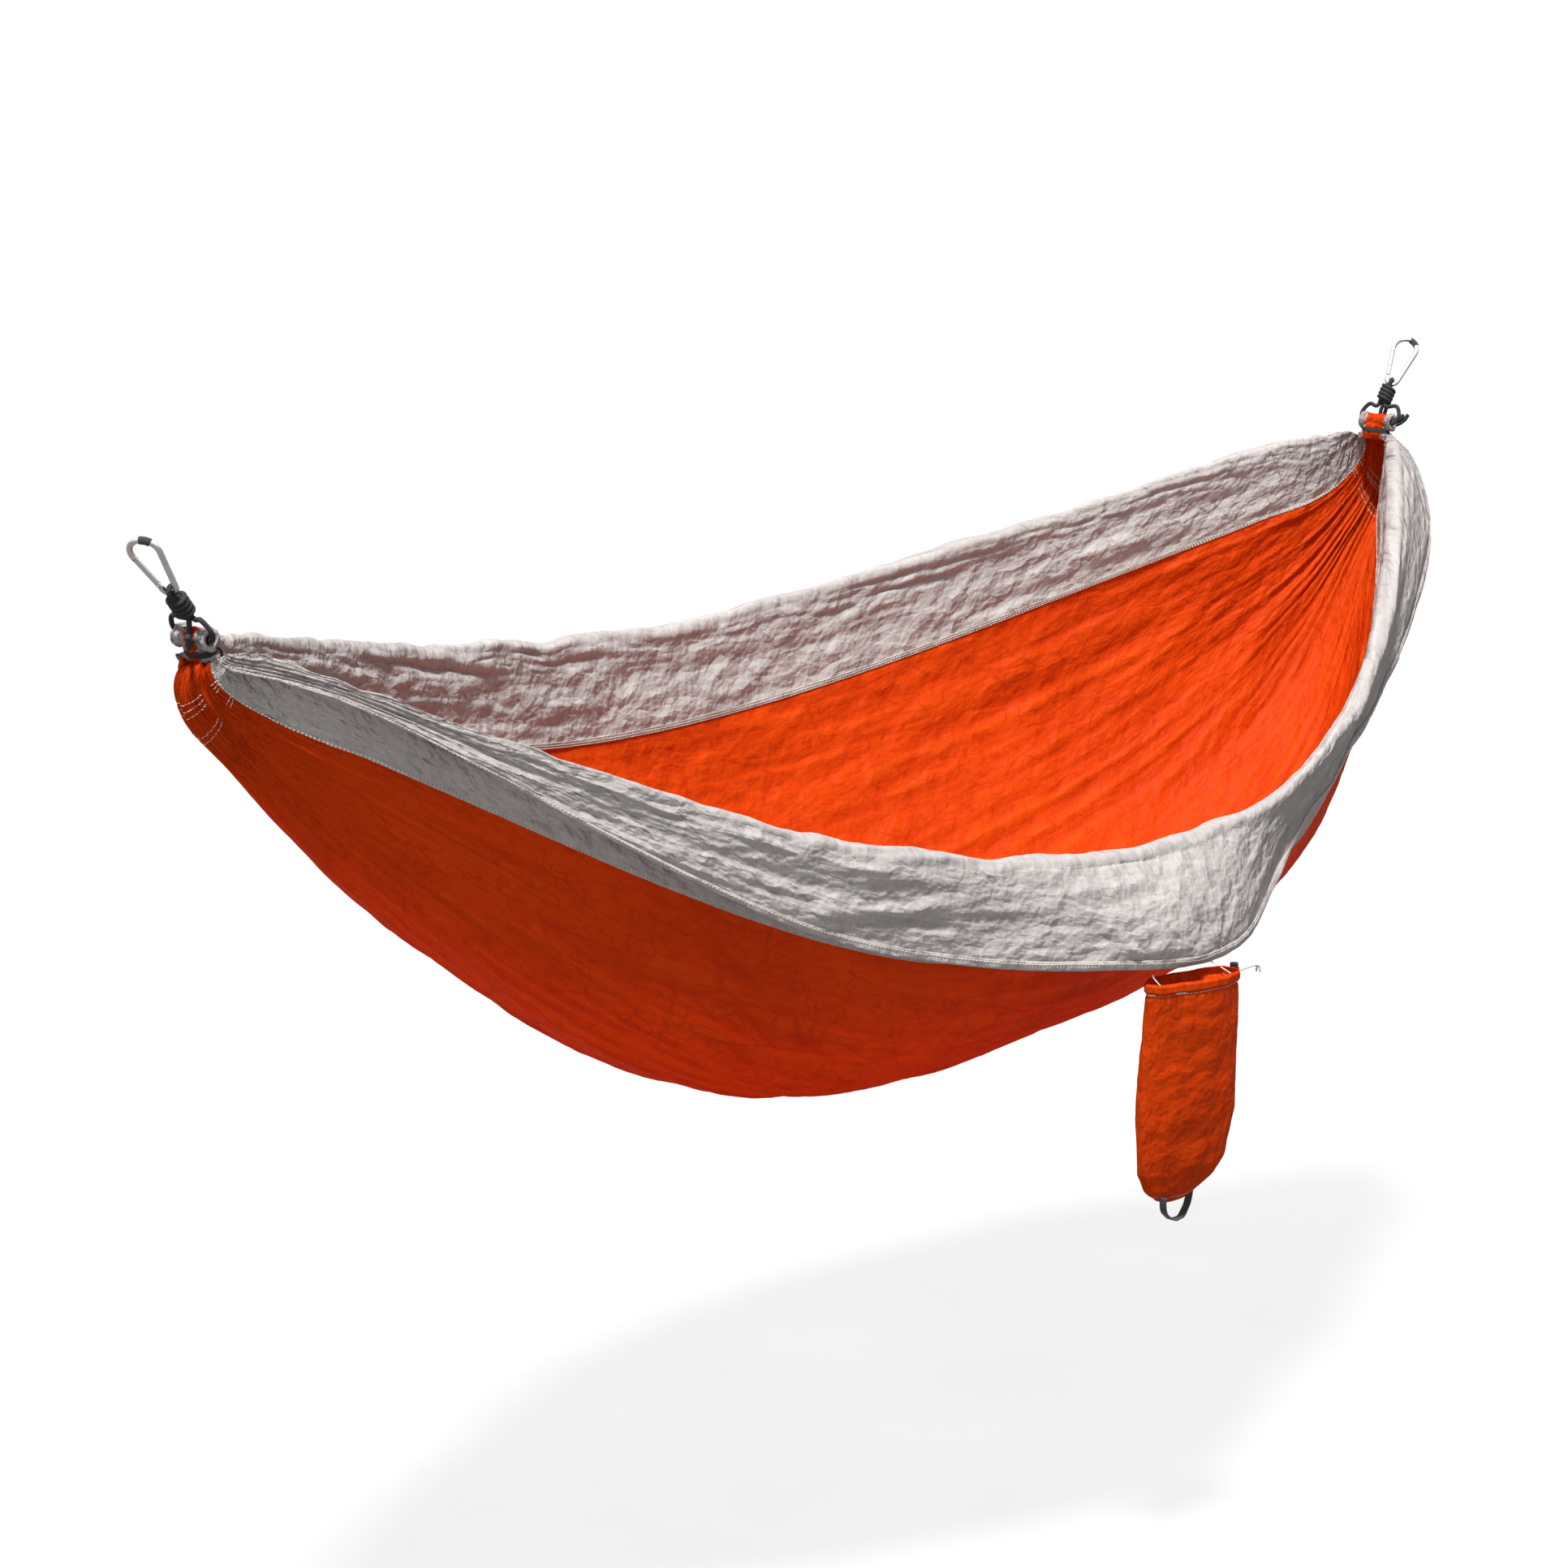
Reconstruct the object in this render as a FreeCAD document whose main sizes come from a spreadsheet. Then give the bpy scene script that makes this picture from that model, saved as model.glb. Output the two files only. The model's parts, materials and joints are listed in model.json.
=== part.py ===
"""A gathered-end camping hammock: a three-panel nylon bed, a rope and a spring-gate carabiner at each end,
and a stuff sack sewn to the front hem.

The row frame has its origin where the tree strap bears in the left carabiner's bow. +X runs to the right
carabiner, +Y to the rear edge of the bed and +Z up. All lengths are millimetres.
"""
import FreeCAD, Part
import math
import os

import Sketcher

Vector = FreeCAD.Vector
Rotation = FreeCAD.Rotation
Placement = FreeCAD.Placement

doc = FreeCAD.newDocument("Hammock")

# ---------------------------------------------------------------- driving dimensions
SIZES = {
    # suspension
    "knot_span": 2350, "pull_angle": 54, "rope_radius": 3, "rope_bend": 4.5, "knot_radius": 12.5,
    "knot_half_length": 14, "knot_wraps": 4, "eye_clearance": 0.8, "rope_tail_length": 38,
    "strand_spread": 41,
    # carabiner
    "rod_radius": 3.5, "bow_radius": 17.5, "foot_radius": 8.5, "carabiner_length": 78, "carabiner_roll": 24,
    "foot_above_knot": 19, "shoulder_length": 4, "gate_radius": 3.2, "gate_tongue_gap": 3.4,
    "nose_setback": 4, "nose_gap": 0.4, "rivet_radius": 1.2, "running_clearance": 0.05, "tongue_width": 2.4,
    "slot_clearance": 0.1, "latch_pin_radius": 0.9, "latch_pin_length": 5.4, "latch_depth": 4.6,
    "gate_bore_radius": 1.7, "gate_bore_depth": 15, "plunger_length": 4, "gate_spring_wire": 0.3,
    "sleeve_wall": 1.1, "sleeve_angle": 40,
    # bed
    "fabric_thickness": 1.6, "neck_inset": 38, "neck_drop": 58, "neck_depth": 22, "neck_half_width": 29,
    "neck_tilt": 70, "front_half_width": 414, "rear_half_width": 380, "front_crest_drop": 435,
    "rear_crest_drop": 252, "bottom_drop": 701, "sag": 96, "side_panel_share": 0.095, "flap_length": 119,
    "flap_neck_length": 16, "left_shortening": 14, "right_shortening": 55, "middle_flare": 61,
    "right_tuck": 24, "right_flare": 70, "rear_flare": 11, "neck_flare": 3, "fold_radius": 13,
    "fold_neck_radius": 2.5, "hem_height": 11, "hem_thickness": 3,
    "thread_thickness": 0.9, "thread_gap": 0.35,
    # gathered ends
    "channel_radius": 12, "channel_bore_radius": 4.4, "channel_half_length": 33, "channel_rise": 25,
    "throat_height": 20, "lashing_height": 8, "lashing_cord_radius": 1.5,
    # stuff sack and cord lock
    "sack_width": 146, "sack_depth": 58, "sack_length": 290, "sack_wall": 1.5, "sack_hang_gap": 10,
    "sack_hinge_gap": 6.3, "tie_radius": 1.3, "drawcord_radius": 1.2, "drawcord_drop": 14, "drawcord_tail": 70,
    "lock_radius": 7, "lock_height": 17, "lock_wall": 1.6, "lock_place": 16, "button_travel": 4,
    "button_rise": 6, "lock_spring_wire": 0.4, "loop_width": 10, "loop_thickness": 1.6, "loop_drop": 26,
    "loop_half_span": 29, "loop_offset": 22,
}

sheet = doc.addObject("Spreadsheet::Sheet", "Sizes")
for row, (alias, value) in enumerate(SIZES.items(), start=1):
    sheet.set("A%d" % row, alias)
    sheet.set("B%d" % row, str(value))
    sheet.setAlias("B%d" % row, alias)
doc.recompute()


def size(alias):
    """A driving dimension, read back from the sheet."""
    return float(sheet.get(alias))


SUB_PARTS = []


def bind(obj, prop, formula):
    """Bind one property to a formula whose words are the sheet's aliases."""
    for alias in sorted(SIZES, key=len, reverse=True):
        formula = formula.replace("$" + alias, "Sizes." + alias)
    obj.setExpression(prop, formula)


def feature(label, shape, placement=None):
    """A sub-part whose shape is made with Part's own functions."""
    obj = doc.addObject("Part::Feature", label)
    obj.Label = label
    obj.Shape = shape
    if placement:
        obj.Placement = placement
    SUB_PARTS.append(obj)
    return obj


def body(label, placement):
    """An empty PartDesign body, placed in the row frame."""
    obj = doc.addObject("PartDesign::Body", label)
    obj.Label = label
    obj.Placement = placement
    SUB_PARTS.append(obj)
    return obj


def sketch(owner, name, role, offset=None):
    """A sketch on one of its own body's origin planes."""
    obj = owner.newObject("Sketcher::SketchObject", owner.Name + "_" + name)
    plane = next(item for item in owner.Origin.OriginFeatures if item.Role == role)
    obj.AttachmentSupport = [(plane, "")]
    obj.MapMode = "FlatFace"
    if offset:
        obj.AttachmentOffset = offset
    return obj


def circle_in(target, radius, formula, centre=Vector()):
    """A circle in a sketch, its radius bound to the sheet."""
    index = target.addGeometry(Part.Circle(centre, Vector(0, 0, 1), radius))
    number = target.addConstraint(Sketcher.Constraint("Radius", index, radius))
    bind(target, "Constraints[%d]" % number, formula)


def polygon_in(target, corners):
    """A closed polygon in a sketch."""
    points = [Vector(x, y, 0) for x, y in corners]
    first = target.GeometryCount
    for start, end in zip(points, points[1:] + points[:1]):
        target.addGeometry(Part.LineSegment(start, end))
    count = len(points)
    for i in range(count):
        target.addConstraint(Sketcher.Constraint("Coincident", first + i, 2, first + (i + 1) % count, 1))


def drill(owner, name, radius, depth, placement):
    """A round hole: a subtractive cylinder whose radius is bound to the sheet."""
    tool = owner.newObject("PartDesign::SubtractiveCylinder", owner.Name + "_" + name)
    bind(tool, "Radius", radius)
    tool.Height = depth
    tool.Placement = placement
    doc.recompute()
    return tool


def notch(owner, name, low, high):
    """A subtractive box between two corners, in the body's own frame."""
    tool = owner.newObject("PartDesign::SubtractiveBox", owner.Name + "_" + name)
    tool.Length = high[0] - low[0]
    tool.Width = high[1] - low[1]
    tool.Height = high[2] - low[2]
    tool.Placement = Placement(Vector(*low), Rotation())
    doc.recompute()
    return tool


ALONG_Y = Rotation(Vector(1, 0, 0), -90)


# ---------------------------------------------------------------- frames of the two ends
def end_frame(side):
    """Points and directions of one end. side is -1 at the left and +1 at the right."""
    angle = math.radians(size("pull_angle"))
    pull = Vector(side * math.cos(angle), 0, math.sin(angle))
    bearing = size("foot_above_knot") + size("carabiner_length") - size("rod_radius")
    middle = size("knot_span") / 2 + bearing * math.cos(angle)
    knot = Vector(middle + side * size("knot_span") / 2, 0, -bearing * math.sin(angle))
    roll = math.radians(size("carabiner_roll"))
    upright = Vector(0, 1, 0)
    across = upright.cross(pull)
    gate_side = upright * math.cos(roll) - across * math.sin(roll)
    return {"pull": pull, "knot": knot, "gate_side": gate_side, "normal": gate_side.cross(pull),
            "middle": middle, "side": side}


LEFT = end_frame(-1)
RIGHT = end_frame(1)
MIDDLE_X = LEFT["middle"]
KNOT_Z = LEFT["knot"].z


def carabiner_placement(end):
    """The carabiner's own frame: +X to the gate, +Y along the pull, origin in the foot of the rod."""
    foot = end["knot"] + end["pull"] * size("foot_above_knot")
    x, y, z = end["gate_side"], end["pull"], end["normal"]
    matrix = FreeCAD.Matrix(x.x, y.x, z.x, foot.x, x.y, y.y, z.y, foot.y, x.z, y.z, z.z, foot.z, 0, 0, 0, 1)
    return Placement(matrix)


def carabiner_outline():
    """Centre line of the pear-shaped rod: tangent points and the angle of its straight sides."""
    foot, bow = size("foot_radius"), size("bow_radius")
    spacing = size("carabiner_length") - foot - bow
    lean = math.asin((bow - foot) / spacing)
    return {"lean": lean, "foot_centre": Vector(0, foot, 0), "bow_centre": Vector(0, foot + spacing, 0),
            "run": spacing * math.cos(lean), "out": Vector(math.cos(lean), -math.sin(lean), 0),
            "up": Vector(math.sin(lean), math.cos(lean), 0)}


OUTLINE = carabiner_outline()
GATE_START = OUTLINE["foot_centre"] + OUTLINE["out"] * size("foot_radius")
RIVET_AT = size("shoulder_length") + size("gate_tongue_gap")
NOSE_AT = OUTLINE["run"] - size("nose_setback")
GATE_LENGTH = NOSE_AT - RIVET_AT - size("nose_gap")


def gate_placement(end):
    """The gate's own frame: origin at the rivet, +Z along the gate, +Y along the rivet."""
    y = Vector(0, 0, 1)
    z = OUTLINE["up"]
    x = y.cross(z)
    rivet = GATE_START + OUTLINE["up"] * RIVET_AT
    local = FreeCAD.Matrix(x.x, y.x, z.x, rivet.x, x.y, y.y, z.y, rivet.y, x.z, y.z, z.z, rivet.z, 0, 0, 0, 1)
    return carabiner_placement(end).multiply(Placement(local))


# ---------------------------------------------------------------- carabiners
def make_carabiner_body(name, end):
    """Bent rod with a flat pivot tongue at its foot end and a slotted, hooked nose at the bow end."""
    owner = body(name + "_carabiner_body", carabiner_placement(end))
    out, up = OUTLINE["out"], OUTLINE["up"]
    inward = Vector(-out.x, out.y, 0)
    foot, bow = size("foot_radius"), size("bow_radius")
    low, high = OUTLINE["foot_centre"], OUTLINE["bow_centre"]
    start = GATE_START + up * size("shoulder_length")
    nose = GATE_START + up * NOSE_AT
    path = sketch(owner, "path", "XY_Plane")
    path.addGeometry(Part.LineSegment(start, GATE_START))
    path.addGeometry(Part.Arc(GATE_START, low - Vector(0, foot, 0), low + inward * foot))
    path.addGeometry(Part.LineSegment(low + inward * foot, high + inward * bow))
    path.addGeometry(Part.Arc(high + inward * bow, high + Vector(0, bow, 0), high + out * bow))
    path.addGeometry(Part.LineSegment(high + out * bow, nose))
    tilt = Rotation(Vector(0, 0, 1), -math.degrees(OUTLINE["lean"]))
    facing = tilt.multiply(ALONG_Y)
    profile = owner.newObject("Sketcher::SketchObject", owner.Name + "_profile")
    plane = next(item for item in owner.Origin.OriginFeatures if item.Role == "XY_Plane")
    profile.AttachmentSupport = [(plane, "")]
    profile.MapMode = "FlatFace"
    profile.AttachmentOffset = Placement(start, facing)
    circle_in(profile, size("rod_radius"), "$rod_radius")
    doc.recompute()
    pipe = owner.newObject("PartDesign::AdditivePipe", owner.Name + "_rod")
    pipe.Profile = profile
    pipe.Spine = path
    doc.recompute()
    # pivot tongue: a rounded flat that reaches the rivet
    tongue = sketch(owner, "tongue", "XY_Plane")
    rivet = GATE_START + up * RIVET_AT
    reach = size("gate_tongue_gap") - 0.5
    base = GATE_START + up * (size("shoulder_length") - 2)
    corners = [base + out * reach, rivet + out * reach, rivet - out * reach, base - out * reach]
    tongue.addGeometry(Part.LineSegment(corners[0], corners[1]))
    tongue.addGeometry(Part.Arc(corners[1], rivet + up * reach, corners[2]))
    tongue.addGeometry(Part.LineSegment(corners[2], corners[3]))
    tongue.addGeometry(Part.LineSegment(corners[3], corners[0]))
    doc.recompute()
    pad = owner.newObject("PartDesign::Pad", owner.Name + "_tongue_pad")
    pad.Profile = tongue
    bind(pad, "Length", "$tongue_width")
    pad.SideType = "Symmetric"
    doc.recompute()
    through = 2 * size("rod_radius") + 2
    drill(owner, "rivet_hole", "$rivet_radius + 0.02", through,
          Placement(rivet - Vector(0, 0, through / 2), Rotation()))
    # nose: a slot for the gate's tongue and a cross groove, open inwards, that hooks the latch pin
    depth = size("latch_depth")
    slot = sketch(owner, "nose_slot", "XY_Plane")
    tip = nose - up * 1
    top = nose + up * (depth + 2 * size("nose_gap"))
    reach = size("rod_radius") + 1
    corners = (tip + out * reach, top + out * reach, top - out * reach, tip - out * reach)
    polygon_in(slot, [(p.x, p.y) for p in corners])
    groove = sketch(owner, "nose_groove", "XY_Plane")
    pin = nose + up * (depth / 2 + size("nose_gap"))
    room = size("latch_pin_radius") + 0.25
    polygon_in(groove, [(p.x, p.y) for p in (pin + out * room + up * room, pin + out * room - up * room,
                                             pin - out * reach - up * room, pin - out * reach + up * room)])
    doc.recompute()
    for cut_sketch, width in ((slot, "$tongue_width + 4 * $slot_clearance"), (groove, "2 * $rod_radius + 2")):
        pocket = owner.newObject("PartDesign::Pocket", cut_sketch.Name + "_cut")
        pocket.Profile = cut_sketch
        bind(pocket, "Length", width)
        pocket.SideType = "Symmetric"
        before = owner.Shape.Volume
        doc.recompute()
        if owner.Shape.Volume >= before:
            raise RuntimeError("a nose pocket cuts nothing")
    return owner


def latch_height():
    """Height of the latch pin along the gate, from the rivet."""
    return NOSE_AT - RIVET_AT + size("latch_depth") / 2 + size("nose_gap")


def make_gate(name, end):
    """Round gate: forked and bored at the rivet, flattened to a latch tongue at its tip."""
    owner = body(name + "_gate", gate_placement(end))
    radius, tip = size("gate_radius"), latch_height() + size("latch_depth") / 2
    outline = sketch(owner, "outline", "XZ_Plane")
    bend = radius * math.sqrt(0.5)
    outline.addGeometry(Part.Arc(Vector(0, -radius, 0), Vector(bend, -bend, 0), Vector(radius, 0, 0)))
    outline.addGeometry(Part.LineSegment(Vector(radius, 0, 0), Vector(radius, tip, 0)))
    outline.addGeometry(Part.LineSegment(Vector(radius, tip, 0), Vector(0, tip, 0)))
    outline.addGeometry(Part.LineSegment(Vector(0, tip, 0), Vector(0, -radius, 0)))
    doc.recompute()
    turned = owner.newObject("PartDesign::Revolution", owner.Name + "_turned")
    turned.Profile = outline
    turned.ReferenceAxis = (outline, ["V_Axis"])
    turned.Angle = 360
    doc.recompute()
    slot = size("tongue_width") / 2 + size("slot_clearance")
    reach = radius + 1
    notch(owner, "fork", (-reach, -slot, -reach), (reach, slot, size("gate_tongue_gap")))
    flat = size("tongue_width") / 2
    notch(owner, "flat_front", (-reach, flat, GATE_LENGTH), (reach, reach, tip + 1))
    notch(owner, "flat_back", (-reach, -reach, GATE_LENGTH), (reach, -flat, tip + 1))
    drill(owner, "bore", "$gate_bore_radius", size("gate_bore_depth"), Placement(Vector(0, 0, 2), Rotation()))
    through = Placement(Vector(0, -reach, 0), ALONG_Y)
    drill(owner, "rivet_hole", "$rivet_radius + $running_clearance", 2 * reach, through)
    at_pin = Placement(Vector(0, -reach, latch_height()), ALONG_Y)
    drill(owner, "pin_hole", "$latch_pin_radius", 2 * reach, at_pin)
    return owner


def make_rivet(name, end):
    """Headed rivet that the gate turns on, held in the body's tongue."""
    owner = body(name + "_gate_rivet", gate_placement(end))
    shank, head = size("rivet_radius"), size("rivet_radius") + 0.7
    half, cap = size("gate_radius") + 0.05, 0.6
    outline = sketch(owner, "outline", "XY_Plane")
    polygon_in(outline, [(0, -half - cap), (shank, -half - cap), (head, -half), (shank, -half), (shank, half),
                         (head, half), (shank, half + cap), (0, half + cap)])
    doc.recompute()
    turned = owner.newObject("PartDesign::Revolution", owner.Name + "_turned")
    turned.Profile = outline
    turned.ReferenceAxis = (outline, ["V_Axis"])
    turned.Angle = 360
    doc.recompute()
    return owner


def bound_cylinder(label, radius, height, placement):
    """A Part cylinder with both sizes bound to the sheet."""
    pin = doc.addObject("Part::Cylinder", label)
    pin.Label = label
    bind(pin, "Radius", radius)
    bind(pin, "Height", height)
    pin.Placement = placement
    SUB_PARTS.append(pin)
    return pin


POINTS_PER_TURN = 18


def coil(radius, wire, length, turns):
    """A compression spring along +Z from the origin."""
    steps = POINTS_PER_TURN * turns
    points = []
    for i in range(steps + 1):
        angle = 2 * math.pi * turns * i / steps
        points.append(Vector(radius * math.cos(angle), radius * math.sin(angle), length * i / steps))
    curve = Part.BSplineCurve()
    curve.interpolate(Points=points)
    return cord(Part.Wire(curve.toShape()), wire)


def make_bow_sleeve(name, end):
    """Dark protective sleeve around the bow where the tree strap bears."""
    inner = size("rod_radius") + 0.05
    ring = Part.makeTorus(size("bow_radius"), inner + size("sleeve_wall"), Vector(), Vector(0, 0, 1))
    ring = ring.cut(Part.makeTorus(size("bow_radius"), inner, Vector(), Vector(0, 0, 1)))
    reach = 2 * size("bow_radius")
    half = math.radians(size("sleeve_angle") / 2)
    wedge = Part.Face(Part.makePolygon([Vector(), Vector(reach * math.cos(half), -reach * math.sin(half), 0),
                                        Vector(reach * math.cos(half), reach * math.sin(half), 0), Vector()]))
    wedge.translate(Vector(0, 0, -reach))
    sector = ring.common(wedge.extrude(Vector(0, 0, 2 * reach)))
    local = Placement(OUTLINE["bow_centre"], Rotation(Vector(0, 0, 1), 90 + size("sleeve_angle") * 0.75))
    return feature(name + "_bow_sleeve", sector, carabiner_placement(end).multiply(local))


def make_carabiner(name, end):
    """All seven pieces of one spring-gate carabiner."""
    make_carabiner_body(name, end)
    make_gate(name, end)
    make_rivet(name, end)
    make_bow_sleeve(name, end)
    at_gate = gate_placement(end)
    centred = Placement(Vector(0, -size("latch_pin_length") / 2, latch_height()), ALONG_Y)
    bound_cylinder(name + "_latch_pin", "$latch_pin_radius - 0.01", "$latch_pin_length",
                   at_gate.multiply(centred))
    plunger_at = size("gate_tongue_gap") - 0.2
    bound_cylinder(name + "_gate_plunger", "$gate_bore_radius - $running_clearance", "$plunger_length",
                   at_gate.multiply(Placement(Vector(0, 0, plunger_at), Rotation())))
    spring_at = plunger_at + size("plunger_length") + 0.5
    spring_room = 2 + size("gate_bore_depth") - spring_at - 0.5
    wire = size("gate_spring_wire")
    spring = coil(size("gate_bore_radius") - wire - 0.2, wire, spring_room, 6)
    feature(name + "_gate_spring", spring, at_gate.multiply(Placement(Vector(0, 0, spring_at), Rotation())))


# ---------------------------------------------------------------- ropes and cords
def rounded_path(points, radius):
    """A wire of straight runs with round bends of one radius."""
    edges = []
    start = points[0]
    for i in range(1, len(points) - 1):
        corner = points[i]
        back = (points[i - 1] - corner).normalize()
        ahead = (points[i + 1] - corner).normalize()
        half = math.acos(max(-1.0, min(1.0, back.dot(ahead)))) / 2
        cut = radius / math.tan(half)
        centre = corner + (back + ahead).normalize() * (radius / math.sin(half))
        first, last = corner + back * cut, corner + ahead * cut
        middle = centre + (corner - centre).normalize() * radius
        edges.append(Part.LineSegment(start, first).toShape())
        edges.append(Part.Arc(first, middle, last).toShape())
        start = last
    edges.append(Part.LineSegment(start, points[-1]).toShape())
    return Part.Wire(edges)


def cord(path, radius):
    """A round cord swept along a path."""
    start = path.Edges[0].valueAt(path.Edges[0].FirstParameter)
    along = path.Edges[0].tangentAt(path.Edges[0].FirstParameter)
    profile = Part.Wire(Part.makeCircle(radius, start, along))
    as_solid, frenet, round_corners = True, False, 1
    return path.makePipeShell([profile], as_solid, frenet, round_corners)


def channel_axis(end):
    """Middle of the sewn channel that the rope runs through, above the neck of the bed."""
    tilt = math.radians(size("neck_tilt"))
    outward = end["side"]
    half = size("neck_depth") / 2
    neck = end["knot"] + Vector(-outward * size("neck_inset"), 0, -size("neck_drop"))
    centre = neck + Vector(outward * half * math.sin(tilt), 0, -half * math.cos(tilt))
    return centre + Vector(outward * math.cos(tilt), 0, math.sin(tilt)) * size("channel_rise")


def make_rope(name, end):
    """One rope: through the sewn channel, both strands up to a barrel knot, then the carabiner's eye."""
    knot, pull, normal = end["knot"], end["pull"], end["normal"]
    axis = channel_axis(end)
    radius, half = size("rope_radius"), size("knot_half_length")
    aside = Vector(0, 1, 0)
    at_end = aside * size("strand_spread")
    below = knot - pull * (half - radius)
    above = (knot - axis).normalize() * (6 * radius)
    half_loop = [below + aside * (1.7 * radius), below - pull * (3 * radius) + aside * (2 * radius),
                 axis + above + at_end, axis + at_end]
    loop = half_loop + [Vector(point.x, -point.y, point.z) for point in reversed(half_loop)]
    eye_reach = size("rod_radius") + size("eye_clearance") + radius
    foot = knot + pull * size("foot_above_knot")
    legs = knot + pull * (half - 5)
    near, far = normal * eye_reach, normal * -eye_reach
    eye = Part.Wire([Part.LineSegment(legs + near, foot + near).toShape(),
                     Part.Arc(foot + near, foot + pull * eye_reach, foot + far).toShape(),
                     Part.LineSegment(foot + far, legs + far).toShape()])
    barrel = wrapped_barrel(size("knot_radius"), half, int(size("knot_wraps")))
    barrel.Placement = Placement(knot, Rotation(Vector(0, 0, 1), pull))
    out = end["gate_side"]
    reach = size("knot_radius") + 2 * radius
    hang = size("rope_tail_length") - reach
    tails = []
    for lift in (1.2 * radius, -1.5 * radius):
        start = knot + pull * lift + out * radius
        away = start - out * reach
        tail = rounded_path([start, away, away - pull * hang - normal * radius], size("rope_bend"))
        tails.append(cord(tail, radius))
    whole = barrel.fuse([cord(rounded_path(loop, size("rope_bend")), radius), cord(eye, radius)] + tails)
    return feature(name + "_rope", whole.removeSplitter())


VALLEY_SHARE = 0.28  # depth of the valley between two wraps, as a share of their pitch


def wrapped_barrel(radius, half, wraps):
    """A barrel knot seen as its turns: a solid of revolution along Z with one bulge for each wrap."""
    pitch = 2 * half / wraps
    edges = []
    inner = radius - pitch * VALLEY_SHARE
    for i in range(wraps):
        low = -half + i * pitch
        edges.append(Part.Arc(Vector(inner, 0, low), Vector(radius, 0, low + pitch / 2),
                              Vector(inner, 0, low + pitch)).toShape())
    edges.append(Part.LineSegment(Vector(inner, 0, half), Vector(0, 0, half)).toShape())
    edges.append(Part.LineSegment(Vector(0, 0, half), Vector(0, 0, -half)).toShape())
    edges.append(Part.LineSegment(Vector(0, 0, -half), Vector(inner, 0, -half)).toShape())
    return Part.Face(Part.Wire(edges)).revolve(Vector(), Vector(0, 0, 1), 360)


# ---------------------------------------------------------------- the bed's curved sheet
# The bed is described by along (-1 at the left neck, 0 at mid-length, +1 at the right neck) and a position
# around a half ellipse that hangs between the rear crest (0) and the front crest (1). Each outline along the
# bed is a hump with a power, a fullness and a skew towards the right.
FRONT_CREST_HUMP = (2.25, 1.31, 0.063)
REAR_CREST_HUMP = (1.86, 1.31, 0.0)
BOTTOM_HUMP = (1.9, 0.53, 0.162)
FRONT_WIDTH_HUMP = (2.26, 1.11, 0.063)
REAR_WIDTH_HUMP = (1.9, 1.11, 0.0)
SAG_PLACE, SAG_WIDTH = -0.375, 0.34  # where the belly sags deeper, left of mid-length
BELLY_POWER = 1.105
TILT_POWER = 90  # how close to the neck the section plane starts to tilt


def hump(along, power, fullness, skew):
    """1 at mid-length and 0 at both necks."""
    moved = along - skew * (1 - along * along)
    return max(0.0, 1 - abs(moved) ** power) ** fullness


def section(along):
    """Half widths, heights and tilt of the cross section at one place along the bed."""
    neck_z = KNOT_Z - size("neck_drop")
    neck_width = size("neck_half_width")

    def from_neck(drop, share):
        return neck_z + (KNOT_Z - drop - neck_z) * share

    front_z = from_neck(size("front_crest_drop"), hump(along, *FRONT_CREST_HUMP))
    rear_z = from_neck(size("rear_crest_drop"), hump(along, *REAR_CREST_HUMP))
    bottom_z = from_neck(size("bottom_drop"), hump(along, *BOTTOM_HUMP)) - size("neck_depth")
    bottom_z -= size("sag") * math.exp(-((along - SAG_PLACE) / SAG_WIDTH) ** 2)
    return {
        "along": along,
        "front": neck_width + (size("front_half_width") - neck_width) * hump(along, *FRONT_WIDTH_HUMP),
        "rear": neck_width + (size("rear_half_width") - neck_width) * hump(along, *REAR_WIDTH_HUMP),
        "front_z": front_z, "rear_z": rear_z, "depth": (front_z + rear_z) / 2 - bottom_z,
        "tilt": math.radians(size("neck_tilt")) * abs(along) ** TILT_POWER,
    }


def belly(cut, around):
    """A point of the half ellipse, as (y, z) in the section."""
    angle = math.pi * around
    share = (1 - math.cos(angle)) / 2
    y = cut["rear"] - (cut["front"] + cut["rear"]) * share
    z = cut["rear_z"] + (cut["front_z"] - cut["rear_z"]) * share
    return y, z - cut["depth"] * max(0.0, math.sin(angle)) ** BELLY_POWER


def into_row(cut, y, z):
    """A section point in the row frame. Near the necks the section plane tilts to face the channel."""
    reference = (cut["front_z"] + cut["rear_z"]) / 2
    drop = reference - z
    length = size("knot_span") / 2 - size("neck_inset")
    outward = math.copysign(1, cut["along"])
    x = MIDDLE_X + length * cut["along"] + outward * drop * math.sin(cut["tilt"])
    return Vector(x, y, reference - drop * math.cos(cut["tilt"]))


def side_share(along):
    """Share of the belly's outline that each side panel takes; it grows towards the necks."""
    return size("side_panel_share") * (1 + 0.8 * abs(along) ** 6)


OUTLINE_STEPS = 60


def seam_place(along, share):
    """The place around the belly where a given share of the outline's length has passed."""
    cut = section(along)
    steps = OUTLINE_STEPS
    points = [belly(cut, i / steps) for i in range(steps + 1)]
    lengths = [0.0]
    for a, b in zip(points, points[1:]):
        lengths.append(lengths[-1] + math.hypot(b[0] - a[0], b[1] - a[1]))
    target = share * lengths[-1]
    for i in range(steps):
        if lengths[i + 1] >= target:
            return (i + (target - lengths[i]) / (lengths[i + 1] - lengths[i])) / steps
    return 1.0


def belly_line(along, start, end, count):
    """Points of the section between two shares of its length."""
    cut = section(along)
    low, high = seam_place(along, start), seam_place(along, end)
    return [belly(cut, low + (high - low) * i / (count - 1)) for i in range(count)]


def eased(value, low, high):
    """0 below low, 1 above high and an eased ramp between."""
    share = min(1.0, max(0.0, (value - low) / (high - low)))
    return share * share * (3 - 2 * share)


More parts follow.
